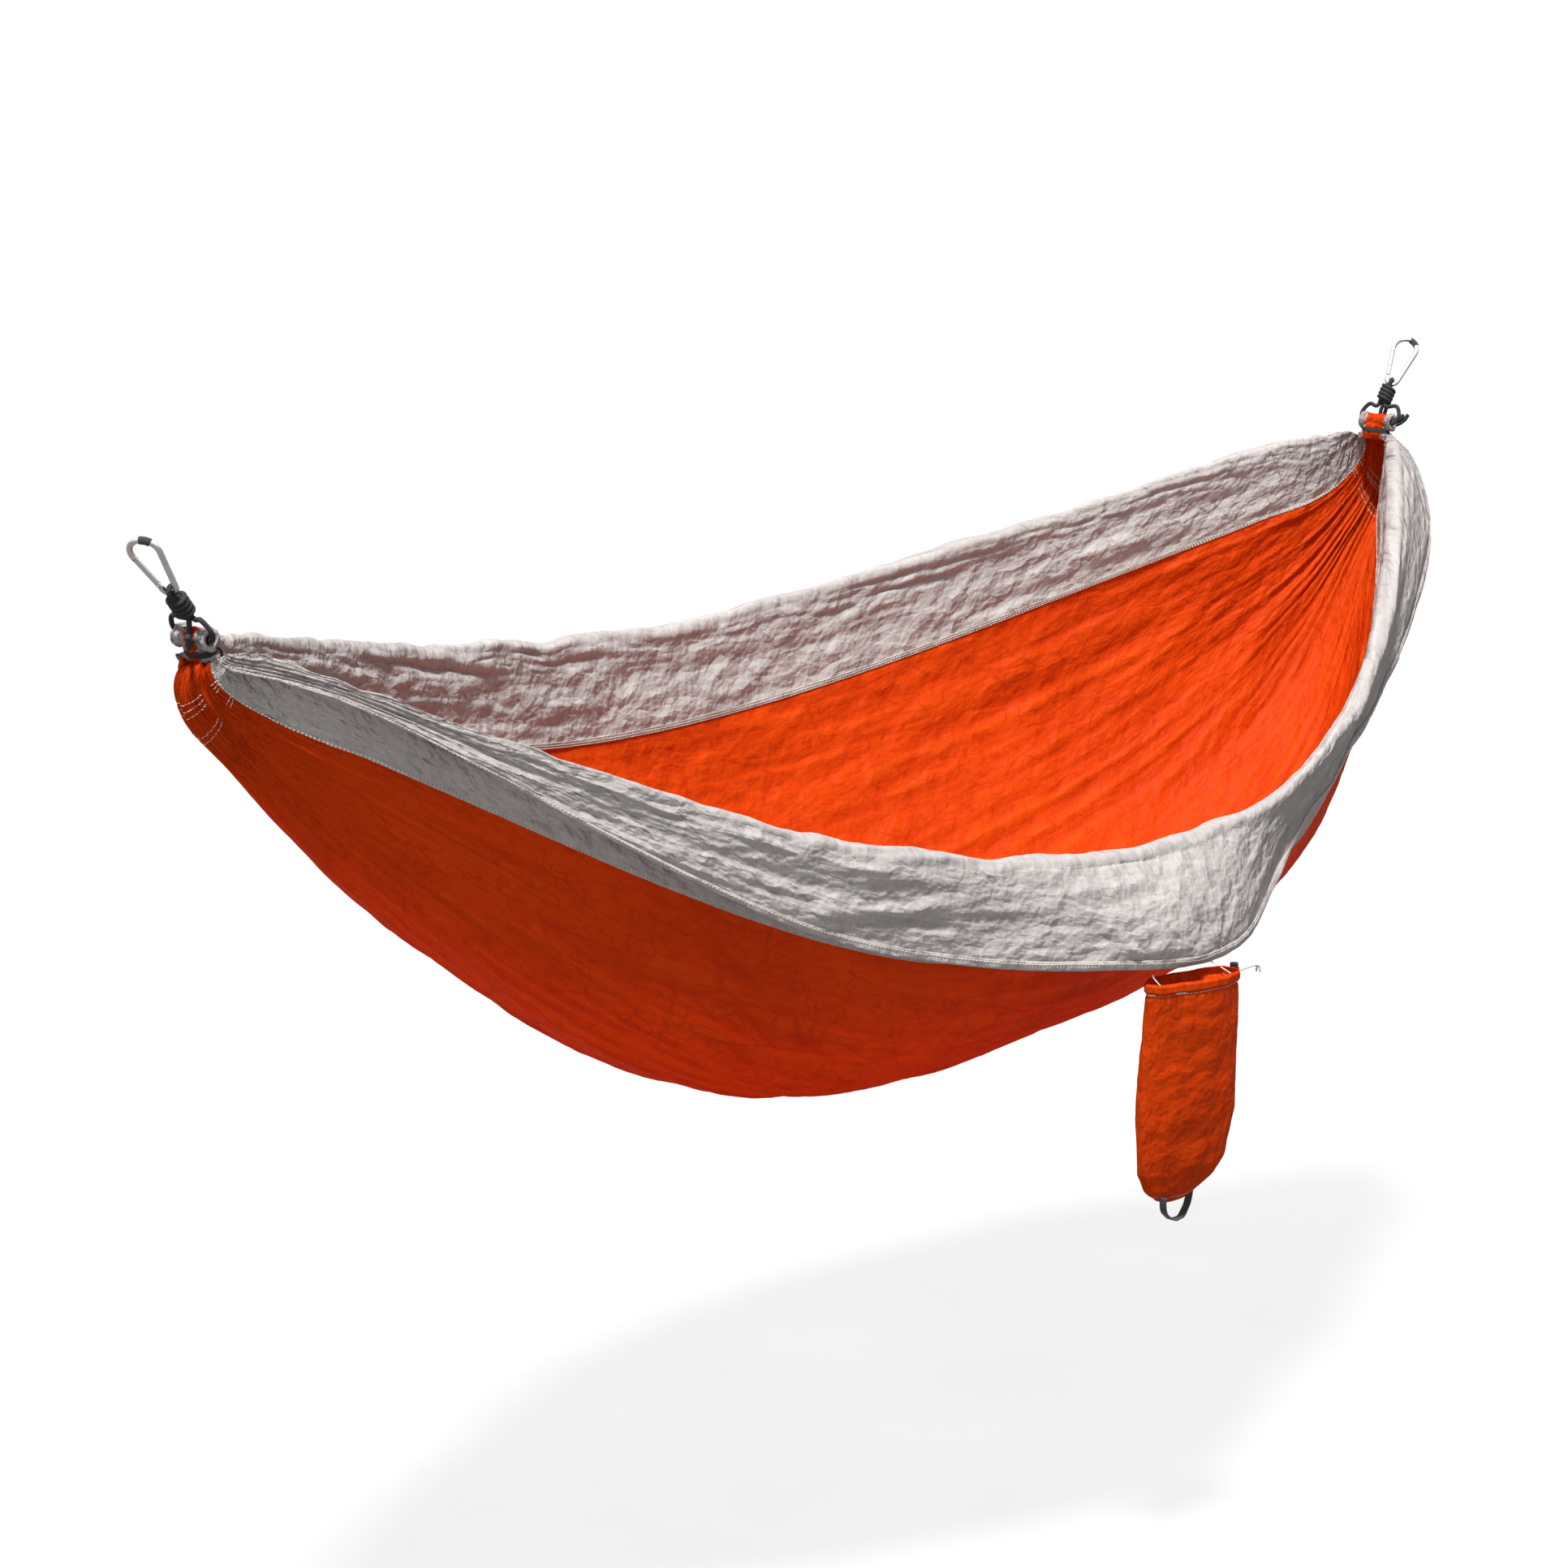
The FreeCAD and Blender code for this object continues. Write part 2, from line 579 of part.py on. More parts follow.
def flap_sizes(along, front):
    """Fold radius, length and flare of the flap. The front one starts as a point near the left neck, is
    kicked out over the stuff sack, short and tucked in right of it, and kicked out again beside the right
    neck."""
    fade = 1 - abs(along) ** 6
    flare, shorter = size("rear_flare") * fade, 0.0
    if front:
        right_fade = 1 - abs(along) ** 60
        fade = eased(along, -0.95, -0.38) * right_fade
        short = eased(along, 0.15, 0.4) * (1 - eased(along, 0.5, 0.85))
        flare = (size("middle_flare") * math.exp(-(along / 0.2) ** 2) - size("right_tuck") * short
                 + size("right_flare") * eased(along, 0.7, 1.05) * right_fade)
        left = eased(along, -0.8, -0.4) * (1 - eased(along, -0.15, 0.1))
        shorter = size("left_shortening") * left + size("right_shortening") * short
    radius = size("fold_neck_radius") + (size("fold_radius") - size("fold_neck_radius")) * fade
    length = size("flap_neck_length") + (size("flap_length") - size("flap_neck_length")) * fade - shorter
    return radius, length, size("neck_flare") + flare


FOLD_SHARE = 0.18  # share of the flap that goes round the fold


def flap_line(along, front, start, end, count):
    """The part of a side panel that folds over the crest and hangs outside it, from the crest (0) to the hem
    (1)."""
    cut = section(along)
    crest = belly(cut, 1.0 if front else 0.0)
    out = -1 if front else 1
    radius, length, flare = flap_sizes(along, front)
    points = []
    for i in range(count):
        place = start + (end - start) * i / (count - 1)
        if place < FOLD_SHARE:
            turn = math.pi * place / FOLD_SHARE
            y = crest[0] + out * radius * (1 - math.cos(turn))
            points.append((y, crest[1] + radius * math.sin(turn)))
        else:
            run = (place - FOLD_SHARE) / (1 - FOLD_SHARE)
            points.append((crest[0] + out * (2 * radius + flare * run * (2 - run)), crest[1] - length * run))
    return points


STATIONS = [math.sin(math.pi / 2 * i / 8) for i in range(-8, 9)]


def shifted(points, offset):
    """A section line moved sideways, along its own normal."""
    moved = []
    for i, (y, z) in enumerate(points):
        before = points[max(0, i - 1)]
        after = points[min(len(points) - 1, i + 1)]
        dy, dz = after[0] - before[0], after[1] - before[1]
        length = math.hypot(dy, dz)
        moved.append((y + dz / length * offset, z - dy / length * offset))
    return moved


def spline(points):
    """One smooth edge through the points, with the same knots for every section."""
    curve = Part.BSplineCurve()
    curve.interpolate(Points=points, Parameters=[i / (len(points) - 1) for i in range(len(points))])
    return curve.toShape()


def sheet_solid(line_at, low_offset, high_offset):
    """A thin closed solid lofted along the bed. line_at gives the section's centre line at each station."""
    wires = []
    for along in STATIONS:
        cut = section(along)
        line = line_at(along)
        low = [into_row(cut, y, z) for y, z in shifted(line, low_offset)]
        high = [into_row(cut, y, z) for y, z in shifted(line, high_offset)]
        high.reverse()
        edges = [spline(low), Part.LineSegment(low[-1], high[0]).toShape(), spline(high),
                 Part.LineSegment(high[-1], low[0]).toShape()]
        wires.append(Part.Wire(edges))
    return Part.makeLoft(wires, True, False)


SEAM_LAP = 0.0006  # keeps the side panel's edge just clear of the centre panel's, as a share of the outline


def side_line(front):
    """Centre line of a side panel: up from the seam, over the crest and down to the hem."""
    def line(along):
        share = side_share(along)
        edges = (1 - share + SEAM_LAP, 1.0) if front else (share - SEAM_LAP, 0.0)
        rising = belly_line(along, edges[0], edges[1], 7)
        return rising[:-1] + flap_line(along, front, 0.0, 1.0, 14)
    return line


def centre_line(along):
    """Centre line of the centre panel, from seam to seam."""
    return belly_line(along, side_share(along), 1 - side_share(along), 15)


HEM_END = 1.0 + size("hem_height") / size("flap_length")


def hem_line(front):
    """Centre line of a hem, just below the flap."""
    def line(along):
        return flap_line(along, front, 1.004, HEM_END, 3)
    return line


def make_bed():
    """Panels, hems and seam threads."""
    half = size("fabric_thickness") / 2
    feature("centre_panel", sheet_solid(centre_line, -half, half))
    hem = size("hem_thickness") / 2
    for name, front in (("front", True), ("rear", False)):
        feature(name + "_side_panel", sheet_solid(side_line(front), -half, half))
        feature(name + "_hem", sheet_solid(hem_line(front), -hem, hem))
        feature(name + "_seam_thread", seam_threads(front))


def seam_threads(front):
    """Three rows of stitching beside a seam, under the cloth at the front and inside the bed at the rear."""
    low = size("fabric_thickness") / 2 + size("thread_gap")
    thick = size("thread_thickness")
    rows = []
    for row in (1, 2, 3):
        def line(along, row=row):
            from_seam = 0.002 + 0.004 * row * (1 - abs(along) ** 4)
            place = side_share(along) - from_seam
            start = 1 - place if front else place
            return belly_line(along, start, start + 0.0006, 3)
        offsets = (-low - thick, -low) if front else (low, low + thick)
        rows.append(sheet_solid(line, offsets[0], offsets[1]))
    return Part.makeCompound(rows)


# ---------------------------------------------------------------- gathered ends
def neck_frame(end):
    """Centre of the neck's section and the direction from it to the channel."""
    tilt = math.radians(size("neck_tilt"))
    outward = end["side"]
    toward = Vector(outward * math.cos(tilt), 0, math.sin(tilt))
    return channel_axis(end) - toward * size("channel_rise"), toward


def ellipse_at(centre, toward, along_y, across):
    """An ellipse around the bundle, its long axis along Y."""
    long_axis = Vector(0, 1, 0)
    short_axis = toward.cross(long_axis)
    curve = Part.Ellipse(centre + long_axis * along_y, centre + short_axis * across, centre)
    return Part.Wire(curve.toShape())


def make_channel(name, end):
    """Sewn tunnel gathered on the rope, and the throat of cloth that the lashing cinches."""
    centre, toward = neck_frame(end)
    half, width = size("channel_half_length"), size("neck_half_width")
    depth = size("neck_depth") / 2
    wires = [ellipse_at(centre + toward * 1.5, toward, width + 6, depth + 6),
             ellipse_at(centre + toward * size("lashing_height"), toward, width - 5, depth - 1),
             ellipse_at(centre + toward * size("throat_height"), toward, half - 4, depth)]
    throat = Part.makeLoft(wires, True, False)
    axis = channel_axis(end)
    tunnel = Part.makeCylinder(size("channel_radius"), 2 * half, axis - Vector(0, half, 0), Vector(0, 1, 0))
    bore_start = axis - Vector(0, 2 * half, 0)
    bore = Part.makeCylinder(size("channel_bore_radius"), 4 * half, bore_start, Vector(0, 1, 0))
    feature(name + "_end_channel", tunnel.fuse(throat).cut(bore).removeSplitter())


def make_lashing(name, end):
    """Two turns of thin cord around the throat."""
    centre, toward = neck_frame(end)
    radius = size("lashing_cord_radius")
    width = size("neck_half_width") - 5 + radius + 1.2
    depth = size("neck_depth") / 2 - 1 + radius + 1.2
    turns = []
    for lift in (-radius - 0.05, radius + 0.05):
        path = ellipse_at(centre + toward * (size("lashing_height") + lift), toward, width, depth)
        turns.append(cord(path, radius))
    feature(name + "_lashing", Part.makeCompound(turns))


# ---------------------------------------------------------------- stuff sack and cord lock
def hem_middle():
    """The lowest line of the front hem at mid-length."""
    y, z = flap_line(0.0, True, 0.0, HEM_END, 5)[-1]
    return into_row(section(0.0), y, z)


def oval(centre, width, depth):
    """A closed elliptical outline in a level plane, long along X."""
    curve = Part.Ellipse(centre + Vector(width / 2, 0, 0), centre + Vector(0, depth / 2, 0), centre)
    return Part.Wire(curve.toShape())


# Sections of the sack from its mouth down: share of the length, of the width and of the depth.
SACK_SECTIONS = ((0.0, 0.88, 0.80), (0.10, 0.93, 0.90), (0.45, 1.0, 1.0), (0.80, 0.95, 0.92),
                 (0.95, 0.80, 0.62), (1.0, 0.66, 0.36))
MOUTH_WIDTH = SACK_SECTIONS[0][1] * size("sack_width")
MOUTH_DEPTH = SACK_SECTIONS[0][2] * size("sack_depth")
MOUTH_FORWARD = 0.35  # how far in front of the hem the middle of the mouth hangs, as a share of its depth
TIE_PLACE = 0.72  # where each tie is, as a share of the mouth's half width


def sack_form(mouth, shrink):
    """The sack's outer form, or its inside when shrink is the wall."""
    wires = []
    for share, wide, deep in SACK_SECTIONS:
        drop = share * (size("sack_length") - shrink)
        wires.append(oval(mouth - Vector(0, 0, drop), wide * size("sack_width") - 2 * shrink,
                          deep * size("sack_depth") - 2 * shrink))
    return Part.makeLoft(wires, True, False)


def make_sack():
    """Open-topped sack, its ties, drawcord, bottom loop and cord lock."""
    hem = hem_middle()
    mouth = hem + Vector(0, -MOUTH_DEPTH * MOUTH_FORWARD, -size("sack_hang_gap"))
    inside = sack_form(mouth + Vector(0, 0, 0.03), size("sack_wall"))
    feature("sack_shell", sack_form(mouth, 0).cut(inside))
    ties = []
    for side in (-1, 1):
        place = side * TIE_PLACE * MOUTH_WIDTH / 2
        top = hem + Vector(place, 0, -size("sack_hinge_gap"))
        low = mouth + Vector(place, MOUTH_DEPTH / 4, 0.3)
        ties.append(cord(Part.Wire(Part.LineSegment(top, low).toShape()), size("tie_radius")))
    feature("sack_ties", Part.makeCompound(ties))
    make_drawcord(mouth - Vector(0, 0, size("drawcord_drop")))
    make_bottom_loop(mouth - Vector(size("loop_offset"), 0, size("sack_length") + 0.2))


def make_drawcord(rim):
    """Once round the rim, outside the wall, then two tails that pass through the cord lock."""
    radius = size("drawcord_radius")
    round_width = MOUTH_WIDTH / 2 + radius + 4
    round_depth = MOUTH_DEPTH / 2 + radius + 4.5
    side_by_side = Vector(0, radius + 0.1, 0)
    tail_start = rim + Vector(round_width + 4, 0, 0)
    tail_end = tail_start + Vector(size("drawcord_tail"), 0, 0)
    turns = [math.radians(turn) for turn in range(-30, -331, -20)]
    ring = [rim + Vector(round_width * math.cos(turn), round_depth * math.sin(turn), 0) for turn in turns]
    path = [tail_end - side_by_side, tail_start - side_by_side] + ring
    path += [tail_start + side_by_side, tail_end + side_by_side]
    feature("sack_drawcord", cord(rounded_path(path, 3.0), radius))
    make_cord_lock(tail_start + Vector(size("lock_place"), 0, 0))


def make_bottom_loop(top):
    """A flat webbing loop sewn under the sack."""
    wide, thick, drop = size("loop_width"), size("loop_thickness"), size("loop_drop")
    half = size("loop_half_span")
    outer = Part.Arc(Vector(-half, 0, 0), Vector(0, 0, -drop), Vector(half, 0, 0)).toShape()
    reach = half - thick
    inner = Part.Arc(Vector(-reach, 0, 0), Vector(0, 0, thick - drop), Vector(reach, 0, 0)).toShape()
    left = Part.LineSegment(Vector(-half, 0, 0), Vector(-reach, 0, 0)).toShape()
    right = Part.LineSegment(Vector(reach, 0, 0), Vector(half, 0, 0)).toShape()
    loop = Part.Face(Part.Wire([left, inner, right, outer.reversed()])).extrude(Vector(0, wide, 0))
    loop.translate(top - Vector(0, wide / 2, 0))
    feature("sack_bottom_loop", loop)


LOCK_BELOW_CORD = 0.62  # share of the cord lock's height that is below the cord


def make_cord_lock(centre):
    """Spring cord lock: a barrel with a window, a pressed button with its own window, and a spring below."""
    radius, height, wall = size("lock_radius"), size("lock_height"), size("lock_wall")
    cord_radius, travel = size("drawcord_radius"), size("button_travel")
    window = cord_radius + 0.05
    bridge = 1.4  # plastic left under the button's window
    at_lock = Placement(centre, Rotation())
    floor = -height * LOCK_BELOW_CORD
    barrel = body("cord_lock_body", at_lock)
    outline = sketch(barrel, "outline", "XZ_Plane")
    polygon_in(outline, [(0, floor), (radius - 1, floor), (radius, floor + 1.5), (radius, floor + height - 1),
                         (radius - 0.8, floor + height), (0, floor + height)])
    doc.recompute()
    turned = barrel.newObject("PartDesign::Revolution", "cord_lock_turned")
    turned.Profile = outline
    turned.ReferenceAxis = (outline, ["V_Axis"])
    turned.Angle = 360
    doc.recompute()
    bore_at = Placement(Vector(0, 0, floor + wall), Rotation())
    drill(barrel, "bore", "$lock_radius - $lock_wall", height, bore_at)
    half_wide = 2 * cord_radius + 0.3
    notch(barrel, "window", (-radius - 1, -half_wide, -window - travel), (radius + 1, half_wide, window))
    button = body("cord_lock_button", at_lock)
    stem = sketch(button, "stem", "XY_Plane", Placement(Vector(0, 0, -window - bridge), Rotation()))
    circle_in(stem, radius - wall - 0.05, "$lock_radius - $lock_wall - $running_clearance")
    doc.recompute()
    pad = button.newObject("PartDesign::Pad", "cord_lock_stem")
    pad.Profile = stem
    pad.Length = window + bridge + floor + height + size("button_rise")
    doc.recompute()
    notch(button, "window", (-radius - 1, -half_wide, -window), (radius + 1, half_wide, window + travel))
    wire = size("lock_spring_wire")
    gap = wire + 0.35
    spring_low = floor + wall + gap
    spring_high = -window - bridge - gap
    spring = coil(radius - wall - 3 * wire, wire, spring_high - spring_low, 3)
    low = Placement(Vector(0, 0, spring_low), Rotation())
    feature("cord_lock_spring", spring, at_lock.multiply(low))


# ---------------------------------------------------------------- build, check and write
make_bed()
for end_name, end_data in (("left", LEFT), ("right", RIGHT)):
    make_channel(end_name, end_data)
    make_lashing(end_name, end_data)
    make_rope(end_name, end_data)
    make_carabiner(end_name, end_data)
make_sack()
doc.recompute()

for item in doc.Objects:
    if "Invalid" in item.State or "Error" in item.State:
        raise RuntimeError("failed object: " + item.Label)
for item in SUB_PARTS:
    if item.Shape.isNull() or not item.Shape.isValid():
        raise RuntimeError("bad shape: " + item.Label)

os.makedirs("parts", exist_ok=True)
for item in SUB_PARTS:
    item.Shape.exportStep(os.path.join("parts", item.Label + ".step"))
    print(item.Label, len(item.Shape.Solids), round(item.Shape.Volume, 1), item.Shape.BoundBox)
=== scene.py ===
"""Looks of the camping hammock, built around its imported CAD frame. All lengths are metres."""

import json
import math

import bpy
import numpy as np
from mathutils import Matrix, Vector


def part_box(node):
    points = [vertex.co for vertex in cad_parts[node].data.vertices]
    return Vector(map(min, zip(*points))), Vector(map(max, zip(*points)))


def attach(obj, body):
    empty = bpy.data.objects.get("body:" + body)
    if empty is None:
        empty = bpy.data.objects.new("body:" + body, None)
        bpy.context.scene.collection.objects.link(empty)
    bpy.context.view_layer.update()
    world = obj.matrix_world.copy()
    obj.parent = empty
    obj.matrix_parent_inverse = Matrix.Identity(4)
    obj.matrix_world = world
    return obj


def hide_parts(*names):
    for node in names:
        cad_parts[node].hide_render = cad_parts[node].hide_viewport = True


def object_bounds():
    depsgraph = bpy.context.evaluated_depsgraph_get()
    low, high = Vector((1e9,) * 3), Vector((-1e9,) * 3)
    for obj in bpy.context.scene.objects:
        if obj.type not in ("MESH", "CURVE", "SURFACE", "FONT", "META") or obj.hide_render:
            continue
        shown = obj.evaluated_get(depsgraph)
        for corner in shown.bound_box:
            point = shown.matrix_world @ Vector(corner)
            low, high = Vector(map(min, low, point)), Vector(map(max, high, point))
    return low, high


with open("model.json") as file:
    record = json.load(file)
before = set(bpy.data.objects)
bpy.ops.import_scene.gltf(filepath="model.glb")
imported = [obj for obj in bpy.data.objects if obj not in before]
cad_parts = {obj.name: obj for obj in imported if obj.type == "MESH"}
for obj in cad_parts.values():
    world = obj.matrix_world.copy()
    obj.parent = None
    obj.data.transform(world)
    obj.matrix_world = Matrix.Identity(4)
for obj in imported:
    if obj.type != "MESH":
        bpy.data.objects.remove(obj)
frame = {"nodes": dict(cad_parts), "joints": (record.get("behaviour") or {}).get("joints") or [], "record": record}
CAD_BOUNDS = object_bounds()
JOINTS = {joint["name"]: joint for joint in frame["joints"]}
MOUNTS = {mount["name"]: mount for mount in frame["record"]["mounts"]}


# ------------------------------------------------------------------ small vector tools
def unit(v):
    """Vectors scaled to length one, along the last axis."""
    return v / np.maximum(np.linalg.norm(v, axis=-1, keepdims=True), 1e-9)


def smooth(x, low, high):
    """0 below low, 1 above high and an eased ramp between."""
    t = np.clip((x - low) / (high - low), 0, 1)
    return t * t * (3 - 2 * t)


# ------------------------------------------------------------------ seeded noise
def lattice(i, j, seed):
    """One fixed random number from 0 to 1 for each whole lattice point."""
    mixed = (i * 374761393 + j * 668265263 + seed * 2147483647) & 0xFFFFFFFF
    mixed = ((mixed ^ (mixed >> 13)) * 1274126177) & 0xFFFFFFFF
    mixed = ((mixed ^ (mixed >> 16)) * 2246822519) & 0xFFFFFFFF
    return ((mixed ^ (mixed >> 15)) & 0xFFFFFF) / 0xFFFFFF


def noise(x, y, seed):
    """Smooth noise from -1 to 1."""
    i, j = np.floor(x).astype(np.int64), np.floor(y).astype(np.int64)
    u, v = x - i, y - j
    u, v = u * u * (3 - 2 * u), v * v * (3 - 2 * v)
    low = lattice(i, j, seed) * (1 - u) + lattice(i + 1, j, seed) * u
    high = lattice(i, j + 1, seed) * (1 - u) + lattice(i + 1, j + 1, seed) * u
    return 2 * (low * (1 - v) + high * v) - 1


def nearest_square(x, y, seed, softness):
    """Squared distance to the nearest of one scattered point per lattice cell, its corners eased by softness."""
    i, j = np.floor(x).astype(np.int64), np.floor(y).astype(np.int64)
    total = np.zeros_like(x)
    for di in (-1, 0, 1):
        for dj in (-1, 0, 1):
            px = i + di + lattice(i + di, j + dj, seed)
            py = j + dj + lattice(i + di, j + dj, seed + 57)
            total += np.exp(-softness * ((x - px) ** 2 + (y - py) ** 2))
    return -np.log(total) / softness


def crumple(x, y, seed, softness=14.0):
    """Flat facets that meet in creases, as cloth has after it was packed; about -0.5 to 0.5."""
    bend = 0.35
    wx = x + bend * noise(x * 0.7, y * 0.7, seed + 3)
    wy = y + bend * noise(x * 0.7, y * 0.7, seed + 4)
    return nearest_square(wx, wy, seed, softness) - nearest_square(wx + 0.4, wy + 0.3, seed + 11, softness)


# ------------------------------------------------------------------ meshes
def new_mesh(name, points, faces, material, smooth_shaded=True):
    """An object from points and faces, linked to the scene."""
    mesh = bpy.data.meshes.new(name)
    mesh.from_pydata([tuple(p) for p in points], [], [tuple(f) for f in faces])
    mesh.polygons.foreach_set("use_smooth", [smooth_shaded] * len(mesh.polygons))
    mesh.update()
    obj = bpy.data.objects.new(name, mesh)
    bpy.context.scene.collection.objects.link(obj)
    obj.data.materials.append(material)
    return obj


def grid_faces(rows, columns, wrap_rows=False, wrap_columns=False):
    """Quads of a rows by columns grid of points."""
    i = np.arange(rows if wrap_rows else rows - 1)[:, None]
    j = np.arange(columns if wrap_columns else columns - 1)[None, :]
    i2, j2 = (i + 1) % rows, (j + 1) % columns
    quads = np.stack([i * columns + j + 0 * j2, i2 * columns + j, i2 * columns + j2, i * columns + j2], axis=-1)
    return quads.reshape(-1, 4)


def set_attribute(obj, name, values, kind):
    """A per-point attribute that materials read."""
    layer = obj.data.attributes.new(name, kind, "POINT")
    key = "vector" if kind == "FLOAT_VECTOR" else "value"
    layer.data.foreach_set(key, np.asarray(values, np.float32).ravel())


def normals_of(grid):
    """Unit normals of a grid of points."""
    return unit(np.cross(np.gradient(grid, axis=0), np.gradient(grid, axis=1)))


def cloth_sheet(name, grid, cloth, material, thickness, crease=None):
    """A closed thin sheet from a grid of points; cloth holds each point's place on the flat cloth."""
    rows, columns = grid.shape[:2]
    obj = new_mesh(name, grid.reshape(-1, 3), grid_faces(rows, columns), material)
    flat = np.concatenate([cloth.reshape(-1, 2), np.zeros((rows * columns, 1))], axis=1)
    set_attribute(obj, "cloth", flat, "FLOAT_VECTOR")
    if crease is None:
        crease = np.zeros((rows, columns))
    set_attribute(obj, "crease", crease, "FLOAT")
    solid = obj.modifiers.new("thickness", "SOLIDIFY")
    solid.thickness = thickness
    solid.offset = 0
    apply_modifiers(obj)
    return obj


def apply_modifiers(obj):
    """Replace the object's mesh with its evaluated mesh."""
    depsgraph = bpy.context.evaluated_depsgraph_get()
    evaluated = bpy.data.meshes.new_from_object(obj.evaluated_get(depsgraph))
    obj.modifiers.clear()
    obj.data = evaluated


def tube_grid(path, radius, sides, closed=False):
    """Rings of points along a path, with each ring's turn angle and each row's length along the path."""
    path = np.asarray(path, float)
    ahead = np.roll(path, -1, 0) - np.roll(path, 1, 0)
    if not closed:
        ahead[0], ahead[-1] = path[1] - path[0], path[-1] - path[-2]
    ahead = unit(ahead)
    side = unit(np.cross(ahead[0], [0.31, 0.2, 0.93]))
    sides_list = []
    for direction in ahead:
        side = side - direction * (side @ direction)
        side = side / np.linalg.norm(side)
        sides_list.append(side)
    side = np.array(sides_list)
    up = np.cross(ahead, side)
    if closed:
        last = side[-1] - ahead[0] * (side[-1] @ ahead[0])
        slip = math.atan2(last @ up[0], last @ side[0])
        share = np.linspace(0, -slip, len(path))
        side, up = (side * np.cos(share)[:, None] + up * np.sin(share)[:, None],
                    up * np.cos(share)[:, None] - side * np.sin(share)[:, None])
    turn = np.linspace(0, 2 * math.pi, sides, endpoint=False)
    ring = np.cos(turn)[None, :, None] * side[:, None] + np.sin(turn)[None, :, None] * up[:, None]
    radius = np.broadcast_to(np.asarray(radius, float).reshape(-1, 1, 1), (len(path), 1, 1))
    steps = np.linalg.norm(np.diff(path, axis=0), axis=1)
    length = np.concatenate([[0], np.cumsum(steps)])
    return path[:, None] + ring * radius, turn, length


def tube(name, path, radius, material, sides=12, closed=False):
    """A cord along a path, its ends closed. Its cloth attribute is length along and distance around."""
    grid, turn, length = tube_grid(path, radius, sides, closed)
    rows = len(grid)
    faces = [tuple(f) for f in grid_faces(rows, sides, wrap_rows=closed, wrap_columns=True)]
    if not closed:
        faces.append(tuple(range(sides)))
        faces.append(tuple((rows - 1) * sides + i for i in reversed(range(sides))))
    obj = new_mesh(name, grid.reshape(-1, 3), faces, material)
    around = np.broadcast_to(turn / (2 * math.pi), (rows, sides))
    along = np.broadcast_to(length[:, None], (rows, sides))
    set_attribute(obj, "cloth", np.stack([along, around, 0 * along], -1), "FLOAT_VECTOR")
    return obj


def curve_through(points, spacing, closed=False):
    """A smooth Catmull-Rom path through the points, resampled to an even spacing."""
    points = np.asarray(points, float)
    if closed:
        padded = np.concatenate([points[-1:], points, points[:2]])
    else:
        padded = np.concatenate([[2 * points[0] - points[1]], points, [2 * points[-1] - points[-2]]])
    dense = []
    steps = np.linspace(0, 1, 24, endpoint=False)[:, None]
    for p0, p1, p2, p3 in zip(padded[:-3], padded[1:-2], padded[2:-1], padded[3:]):
        dense.append(0.5 * (2 * p1 + (p2 - p0) * steps + (2 * p0 - 5 * p1 + 4 * p2 - p3) * steps ** 2
                            + (3 * p1 - p0 - 3 * p2 + p3) * steps ** 3))
    dense = np.concatenate(dense + [points[:1] if closed else points[-1:]])
    length = np.concatenate([[0], np.cumsum(np.linalg.norm(np.diff(dense, axis=0), axis=1))])
    count = max(4, int(round(length[-1] / spacing)))
    places = np.linspace(0, length[-1], count + 1)[: count if closed else count + 1]
    return np.stack([np.interp(places, length, dense[:, k]) for k in range(3)], axis=1)


def join(name, objects):
    """Several pieces as one object."""
    bpy.ops.object.select_all(action="DESELECT")
    for obj in objects:
        obj.select_set(True)
    bpy.context.view_layer.objects.active = objects[0]
    bpy.ops.object.join()
    objects[0].name = name
    return objects[0]


def stitches(name, path, normal, material, pitch=0.0042, share=0.74, radius=0.00034):
    """A row of sewn stitches along a path: short bulged bars that dip into the cloth at both ends."""
    length = np.concatenate([[0], np.cumsum(np.linalg.norm(np.diff(path, axis=0), axis=1))])
    count = max(1, int(length[-1] / pitch))
    middles = (np.arange(count) + 0.5) * length[-1] / count

    def at(values, places):
        return np.stack([np.interp(places, length, values[:, k]) for k in range(3)], axis=1)

    centre, lift = at(path, middles), unit(at(normal, middles))
    half = 0.5 * pitch * share
    along = unit(at(path, middles + half) - at(path, middles - half))
    across = np.cross(along, lift)
    turn = np.linspace(0, 2 * math.pi, 6, endpoint=False)
    rings = []
    for place, wide, high in ((-1.0, 0.35, -0.6), (-0.62, 1.0, 0.5), (0.62, 1.0, 0.5), (1.0, 0.35, -0.6)):
        middle = centre + along * (place * half) + lift * (high * radius)
        ring = np.cos(turn)[None, :, None] * across[:, None] + np.sin(turn)[None, :, None] * lift[:, None]
        rings.append(middle[:, None] + ring * (wide * radius))
    points = np.stack(rings, axis=1).reshape(-1, 3)
    sides = len(turn)
    one = [tuple(f) for f in grid_faces(4, sides, wrap_columns=True)]
    one.append(tuple(range(sides)))
    one.append(tuple(3 * sides + i for i in reversed(range(sides))))
    faces = []
    for k in range(count):
        start = k * 4 * sides
        faces += [tuple(start + i for i in face) for face in one]
    obj = new_mesh(name, points, faces, material)
    set_attribute(obj, "cloth", points, "FLOAT_VECTOR")
    return obj


# ------------------------------------------------------------------ materials
def material(name, build):
    """A node material whose surface shader comes from build(tree)."""
    made = bpy.data.materials.new(name)
    made.use_nodes = True
    tree = made.node_tree
    tree.nodes.clear()
    output = tree.nodes.new("ShaderNodeOutputMaterial")
    tree.links.new(build(tree), output.inputs["Surface"])
    return made


